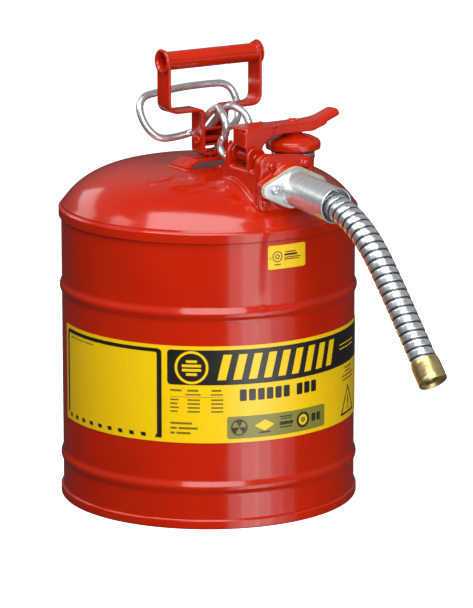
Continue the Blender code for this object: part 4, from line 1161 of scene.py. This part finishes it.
def fused_bead(points, lift, radius):
    """A bead of casting that follows the dome through points in plan."""
    path = [(x, y, dome_relief(x, y, dome_z(math.hypot(x, y)))[2] + lift) for x, y in points]
    return tube("p", path, radius, RED_CAST, 16)


def through(*route):
    return [(p.x, p.y) for p in smooth_path([(x, y, 0) for x, y in route], 6)]


def make_manifold():
    front, back = -FRONT_Y, -CHAMBER_BACK_Y
    left, right = CHAMBER_X
    wall = 0.003
    parts = [lump(hull_of_circles(LOBES), front - FRAME_T, front, facing_front(), bevel=0.0012)]
    chamber = lump(chamber_outline(), back, front - 0.001, facing_front(), bevel=0.0025)
    inside = box(left + wall, right - wall, 0.29, ROOF_Z - wall)
    cut(chamber, slab("c", inside, back + wall, front - FRAME_T, RED_CAST, facing_front()))
    parts.append(chamber)
    neck = [
        (0.0172, 0.318), (0.0195, 0.318), (0.0206, 0.345), (0.0208, 0.3515), (0.0217, 0.3528),
        (0.0217, NECK_TOP_Z), (0.0172, NECK_TOP_Z),
    ]
    parts.append(lathe("p", fillet(neck, 0.0006, 3, closed=True), RED_CAST, at(*FILL), 64, closed=True))
    x, z = LEVER_PIVOT
    ear = hull_of_circles(((x, z, 0.0108), (x - 0.006, 0.34, 0.002), (x + 0.01, 0.34, 0.002)))
    for y in (FILL[1] - 0.0155, FILL[1] + 0.019):
        parts.append(lump(ear, -y, -y + EAR_T, facing_front(), bevel=0.0009))
    foot = [(-0.0785, 0.346), (-0.0785, 0.334), (-0.0545, 0.334), (-0.0555, 0.343)]
    tall = [*foot, (-0.0665, 0.3712), (-0.0705, 0.3712), (-0.0712, 0.35)]
    low = [*foot, (-0.063, 0.356), (-0.07, 0.356)]
    radii = [0, 0, 0, 0.003, 0.0018, 0.0018, 0.003]
    for x0, guard in ((-0.0191, tall), (0.0165, low)):
        outline = fillet(guard, radii[: len(guard)], 4, closed=True)
        parts.append(lump(outline, x0, x0 + 0.0026, facing_right(), bevel=0.0006))
    # Beads of weld and casting where the chamber and the neck meet the dome
    rear = CHAMBER_BACK_Y
    side_foot = ((left - 0.002, rear), (left - 0.003, -0.095), (left - 0.004, -0.118), (left - 0.002, -0.129))
    rear_foot = ((left, rear - 0.001), (0.004, rear + 0.001), (0.03, rear))
    arc = [(FILL[0] + 0.02 * math.cos(t), FILL[1] + 0.02 * math.sin(t)) for t in spread(-1.9, 2.0, 20)]
    parts += [
        fused_bead(through(*side_foot), 0.0002, 0.0026),
        fused_bead(through(*rear_foot), 0, 0.0022),
        fused_bead(arc, 0, 0.0024),
    ]
    start = FRAME_T - front
    boss = [(0, start), (0.0052, start), (0.0052, start + 0.006), (0, start + 0.008)]
    for sx, sz in SCREWS[:2]:
        placing = at(sx, 0, sz) @ facing_front() @ Matrix.Rotation(math.pi, 4, "X")
        parts.append(lathe("p", boss, RED_CAST, placing, 32))
    bore = slab("c", circle(0.0175, *FILL, 64), 0.28, 0.3552, RED_CAST)
    port = drill(0.016, SPOUT[0], SPOUT[2] + 0.0008, front - 0.008, front + 0.002, facing_front(), 48)
    pin = drill(PIN_R + 0.0002, *LEVER_PIVOT, 0.06, 0.12, facing_front())
    return stands_for(cast("valve_casting", parts, RED_CAST, 0.0007, 4, [bore, port, pin]), "manifold_body")


def make_front_plate():
    back, face = PLATE_BACK, PLATE_FACE
    parts = [lump(hull_of_circles(LOBES), back, face, facing_front(), bevel=0.0011)]
    pad = lump(diamond(0.02, 0.028, 0.007), -0.0146, -0.0021, along_spout(), bevel=0.0006)
    rim = [(0.0195, -0.0146), (0.0245, -0.0146), (0.0232, -0.008), (0.0218, -0.0064), (0.0195, -0.006)]
    for raised in (pad, lathe("p", rim, RED_CAST, along_spout(), 64, closed=True)):
        behind = slab("c", box(-0.1, 0.1, 0.25, 0.42), back - 0.03, back + 0.002, RED, facing_front())
        parts.append(cut(raised, behind))
    boss = [(0.0026, face - 0.001), (0.0054, face - 0.001), (0.005, face + BOSS_H), (0.0026, face + BOSS_H)]
    cutters = [drill(SLEEVE_BORE_R, 0, 0, -0.03, 0.02, along_spout(), 64)]
    for x, z in SCREWS:
        parts.append(lathe("p", boss, RED_CAST, at(x, 0, z) @ facing_front(), 32, closed=True))
        cutters.append(drill(SCREW_R + 0.0001, x, z, back - 0.003, face + 0.004, facing_front(), 20))
    for x in (-BOLT_X, BOLT_X):
        cutters.append(drill(SCREW_R + 0.0001, x, 0, -0.0125, 0.01, along_spout(), 20))
    return stands_for(cast("valve_cover_plate", parts, RED_CAST, 0.00055, 4, cutters), "front_plate")


def socket_head(name, placing, seat, shank, look, radius=0.004, height=0.0027):
    """A round-headed screw with a star socket."""
    profile = fillet(
        [(0, shank), (SCREW_R, shank), (SCREW_R, seat), (radius, seat), (radius, seat + height * 0.55),
         (radius * 0.72, seat + height), (0, seat + height)],
        0.0007, 4,
    )
    screw = lathe(name, profile, look, placing, 40)
    radii = [(t, 0.00155 + 0.00028 * math.cos(6 * t)) for t in around(36)]
    star = [(r * math.cos(t), r * math.sin(t)) for t, r in radii]
    cut(screw, slab("c", star, seat + height - 0.0016, seat + height + 0.002, look, placing))
    shade(screw.data, 40)
    return screw


def make_screws():
    for k, (x, z) in enumerate(SCREWS, 1):
        placing = at(x, 0, z) @ facing_front()
        screw = socket_head(f"cover_screw_{k}", placing, PLATE_FACE + BOSS_H, -FRONT_Y - 0.0017, RED_PIECE)
        stands_for(screw, f"plate_screw_{k}")
    for side, x in enumerate((-BOLT_X, BOLT_X), 1):
        placing = along_spout() @ at(x)
        bolt = socket_head(f"spout_bolt_{side}", placing, 0.0025, -0.0088, ZINC, 0.0042, 0.0028)
        stands_for(bolt, f"flange_bolt_{side}")


def make_spout_gasket():
    outline = diamond(0.0208, 0.029, 0.0084)
    holes = [circle(SLEEVE_BORE_R), *(circle(SCREW_R + 0.0003, x, 0, 20) for x in (-BOLT_X, BOLT_X))]
    gasket = slab("spout_flange_gasket", outline, -0.0018, -0.0002, FIBRE, along_spout(), holes, bevel=0.0003)
    return stands_for(gasket, "spout_gasket")


make_manifold()
make_front_plate()
make_screws()
make_spout_gasket()


# ---------------------------------------------------------------- fill cap and lever


def make_cap():
    low, high = CAP_Z
    under = LEVER_TOP_Z - LEVER_SHEET - 0.0003
    profile = fillet(
        [
            (0, low + 0.0008), (0.0235, low + 0.0008), (0.0238, low), (CAP_R - 0.0006, low),
            (CAP_R, low + 0.0012), (CAP_R + 0.0001, low + 0.0062), (CAP_R - 0.0012, low + 0.0088),
            (CAP_R - 0.0052, high + 0.0008), (0.019, high + 0.0022), (0.0115, high + 0.004),
            (0.008, high + 0.0058), (0.0076, under), (0.0028, under), (0.0028, high), (0, high),
        ],
        [0, 0.0003, 0.0003, 0.0008, 0.001, 0.0018, 0.003, 0.006, 0.006, 0.004, 0.002]
        + [0.0003, 0.0002, 0.0002, 0],
        6,
    )
    cap = lathe("fill_cap_disc", profile, RED_PIECE, at(*FILL), 128, degrees=50)
    return stands_for(cap, "fill_cap", body="fill_lever_body")


def make_cap_rivet():
    top = LEVER_TOP_Z + 0.0003
    profile = fillet(
        [
            (0, CAP_Z[1] + 0.0003), (PIN_R, CAP_Z[1] + 0.0003), (PIN_R, top), (0.0055, top),
            (0.0052, top + 0.001), (0.0036, top + 0.0019), (0, top + 0.0021),
        ],
        0.0005, 4,
    )
    parts = [lathe("p", profile, RED_PIECE, at(*FILL), 48)]
    for turn in (0.35, 0.35 + math.pi / 2):
        placing = at(*FILL) @ Matrix.Rotation(turn, 4, "Z")
        bar = box(-0.005, 0.005, -0.0008, 0.0008, 0.0007, 3)
        parts.append(slab("p", bar, top + 0.0004, top + 0.0024, RED_PIECE, placing, bevel=0.0004))
    rivet = cast("fill_cap_rivet", parts, RED_PIECE, 0.00035, 2)
    return stands_for(rivet, "cap_rivet", body="fill_lever_body")


def tongue(spine, half_width, half_thick, tip):
    """A soft flat bar along a spine in a plane of constant Y, its last stretch narrowing to a round tip."""
    frames = frames_along(spine, (0, 1, 0))
    rows = [oval(point, side, up, half_width, half_thick) for point, (_, side, up) in zip(spine, frames)]
    along, side, up = frames[-1]
    for k in range(1, 13):
        t = k / 12
        bulge = math.sqrt(max(1 - t * t, 0.0))
        width, thick = max(half_width * bulge, 0.0004), half_thick * (0.35 + 0.65 * bulge)
        rows.append(oval(spine[-1] + along * (tip - 0.004) * t, side, up, width, thick))
    return from_bmesh("p", grid(rows, capped=True), RED_CAST)


def oval(centre, side, up, half_width, half_thick):
    """A ring of points with flat top and bottom and round edges."""
    found = []
    for t in around(32):
        c, s = math.cos(t), math.sin(t)
        across = math.copysign(abs(c) ** 0.45, c)
        rise = math.copysign(abs(s) ** 0.8, s)
        found.append(centre + side * across * half_width + up * rise * half_thick)
    return found


def make_lever():
    px, pz = LEVER_PIVOT
    cx, cy = FILL
    top, under = LEVER_TOP_Z, LEVER_TOP_Z - LEVER_SHEET
    near, far = cy - LEVER_HALF_W, cy + LEVER_HALF_W
    wide = hull_of_circles(
        (
            (-0.0215, near + 0.006, 0.006), (-0.0175, far - 0.01, 0.01),
            (0.005, near + 0.0012, 0.001), (0.005, far - 0.0012, 0.001),
            (0.012, cy - 0.0105, 0.0012), (0.012, cy + 0.0105, 0.0012),
        ),
        40,
    )
    narrow = hull_of_circles([(x, cy + y, 0.002) for x in (0.002, 0.066) for y in (-0.0093, 0.0093)], 24)
    parts = [
        lump(wide, under, top + 0.0003, bevel=0.001),
        lump(narrow, under, top - 0.0001, bevel=0.0009),
    ]
    for y, start in ((near + LEVER_SHEET, -0.0262), (far, -0.0185)):
        rear = [
            (start, top - 0.0004), (start, 0.3695), (px - 0.008, pz + 0.004), (px - 0.0055, pz - 0.0066),
            (px + 0.005, pz - 0.0066), (px + 0.0085, pz + 0.002), (-0.006, 0.369), (0.0, 0.3752),
            (0.0068, 0.3775), (0.0068, top - 0.0004),
        ]
        radii = [0.0055, 0.005, 0.004, 0.005, 0.005, 0.004, 0.005, 0.004, 0.003, 0.001]
        outline = fillet(rear, radii, 5, closed=True)
        parts.append(lump(outline, -y, -y + LEVER_SHEET, facing_front(), bevel=0.0008))
    back_wall = [
        (near + 0.002, top - 0.004), (near + 0.0006, 0.369),
        (far - 0.009, 0.3712), (far - 0.009, top - 0.001),
    ]
    parts.append(lump(back_wall, -0.0272, -0.025, facing_right(), bevel=0.0005))
    front = [
        (0.0045, top - 0.0004), (0.0045, 0.377), (0.02, 0.3785), (0.056, 0.378), (0.07, 0.3826),
        (0.0735, 0.3856), (0.07, 0.388), (0.06, top - 0.0006),
    ]
    outline = fillet(front, [0.001, 0.002, 0.01, 0.012, 0.003, 0.003, 0.006, 0.004], 6, closed=True)
    for y in (cy - 0.0113 + LEVER_SHEET, cy + 0.0113):
        parts.append(lump(outline, -y, -y + LEVER_SHEET, facing_front(), bevel=0.0008))
    tab_path = [(0.056, 0.3856), (0.063, 0.386), (0.071, 0.3876), (0.079, 0.3904), (0.085, 0.3928)]
    parts.append(tongue(smooth_path([(x, cy, z) for x, z in tab_path], 5), 0.011, 0.0036, 0.0088))
    # Folded nibs along the lap between the two channels, and the raised pad round the rivet
    for x, y, w in ((0.0085, -0.0125, 0.0022), (0.0085, 0.0125, 0.0022), (0.015, -0.01, 0.0016)):
        nib = fillet([(0, 0), (0.0014, 0), (0.0014, w), (0, w)], 0.0004, 3)
        parts.append(lump(nib, 0, 0.0034, at(x, cy + y - w / 2, top - 0.0022), bevel=0.0004))
    pad = [
        (0.0028, under), (0.0088, under), (0.008, top + 0.0008),
        (0.0062, top + 0.001), (0.0028, top + 0.0001),
    ]
    parts.append(lathe("p", pad, RED_CAST, at(cx, cy), 48, closed=True))
    holes = [
        drill(PIN_R + 0.0002, px, pz, 0.06, 0.12, facing_front()),
        drill(PIN_R + 0.0002, cx, cy, 0.37, 0.4),
    ]
    lever = cast("fill_cap_lever", parts, RED_CAST, 0.00055, 4, holes)
    return stands_for(lever, "fill_lever", body="fill_lever_body")


def make_hinge():
    px, pz = LEVER_PIVOT
    reach = LEVER_HALF_W + 0.0005 + EAR_T + 0.0002
    head = [
        (PIN_R, 0), (0.004, 0), (0.0042, 0.0006), (0.0034, 0.0013),
        (0.0012, 0.0014), (0.0009, 0.0006), (0, 0.0006),
    ]
    placing = at(px, 0, pz) @ facing_front(FILL[1])
    pin = lathe("lever_pin", headed_pin(head, reach, 0.0003), RED_PIECE, placing, 32)
    stands_for(pin, "lever_hinge_pin")
    coil = [(px + x, FILL[1] + y, pz + z) for x, z, y in helix(0.0045, -0.008, 0.008, 6, 24)]
    spring = tube("lever_return_spring", coil, 0.0008, RED_PIECE, 12)
    stands_for(spring, "lever_spring")


make_cap()
make_cap_rivet()
make_lever()
make_hinge()


# ---------------------------------------------------------------- carried-over CAD nodes

for node, look in (
    ("fill_neck", ZINC), ("fill_arrester", STEEL), ("pour_arrester", STEEL), ("hose_gland", STEEL),
    ("plate_gasket", RED_CAST), ("cap_gasket", RUBBER), ("poppet_seal", RUBBER),
    ("valve_stem", STEEL), ("valve_arm", STEEL), ("valve_poppet", STEEL), ("valve_seat", STEEL),
    ("valve_guide", STEEL), ("valve_cage", STEEL), ("valve_spring", STEEL),
):
    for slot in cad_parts[node].material_slots:
        slot.material = look


# ---------------------------------------------------------------- stage


def area(name, azimuth, elevation, distance, width, height, radiance):
    """A soft light at an angle round the can, counted from the camera's side, facing the can."""
    a, e = math.radians(VIEW_DEG + azimuth), math.radians(elevation)
    data = bpy.data.lights.new(name, "AREA")
    data.shape = "RECTANGLE"
    data.size, data.size_y = width, height
    data.energy = radiance * math.pi * width * height
    obj = bpy.data.objects.new(name, data)
    scene.collection.objects.link(obj)
    target = Vector((0, 0, 0.2))
    aside = math.cos(e)
    obj.location = target + distance * Vector((math.cos(a) * aside, math.sin(a) * aside, math.sin(e)))
    obj.rotation_euler = (target - obj.location).to_track_quat("-Z", "Y").to_euler()
    obj.visible_camera = False
    return obj


def make_stage():
    mesh = bpy.data.meshes.new("floor")
    mesh.from_pydata([(-12, -12, 0), (12, -12, 0), (12, 12, 0), (-12, 12, 0)], [], [(0, 1, 2, 3)])
    look = Look("floor", (0.92, 0.92, 0.92), 0.0, 0.9)
    look.set("Emission Color", (1, 1, 1, 1))
    look.set("Emission Strength", 1.0)
    floor = link("floor", mesh, look.material)
    floor.location.z = -0.0002
    floor.visible_glossy = floor.visible_diffuse = floor.visible_shadow = False
    world = bpy.data.worlds.new("studio")
    scene.world = world
    world.use_nodes = True
    nodes, wires = world.node_tree.nodes, world.node_tree.links
    place, split = nodes.new("ShaderNodeTexCoord"), nodes.new("ShaderNodeSeparateXYZ")
    shift, ramp = nodes.new("ShaderNodeMapRange"), nodes.new("ShaderNodeValToRGB")
    shift.inputs["From Min"].default_value = -1.0
    wires.new(place.outputs["Generated"], split.inputs["Vector"])
    wires.new(split.outputs["Z"], shift.inputs["Value"])
    wires.new(shift.outputs["Result"], ramp.inputs["Fac"])
    wires.new(ramp.outputs["Color"], nodes["Background"].inputs["Color"])
    stops = ramp.color_ramp.elements
    stops[0].color, stops[1].color = (0.06, 0.06, 0.06, 1), (0.1, 0.1, 0.1, 1)
    for height, grey in ((0.45, 0.04), (0.55, 0.1), (0.75, 0.28)):
        stops.new(height).color = (grey, grey, grey * 1.02, 1)
    area("key_soft", 4, 24, 2.4, 2.0, 1.4, 4.1)
    area("top_soft", -19, 65, 1.5, 1.4, 0.8, 4.4)
    area("left_soft", -78, 38, 2.0, 1.0, 0.8, 2.2)
    area("rim_soft", -131, 29, 2.0, 1.3, 0.45, 1.5)
    for azimuth, radiance in ((20.5, 1.3), (31, 2.4), (41.5, 2.2), (52, 1.0), (62.5, 0.5)):
        area("right_soft", azimuth, -20, 1.7, 0.33, 1.5, radiance)
    scene.view_settings.view_transform = "Standard"
    scene.view_settings.look = "None"


make_stage()
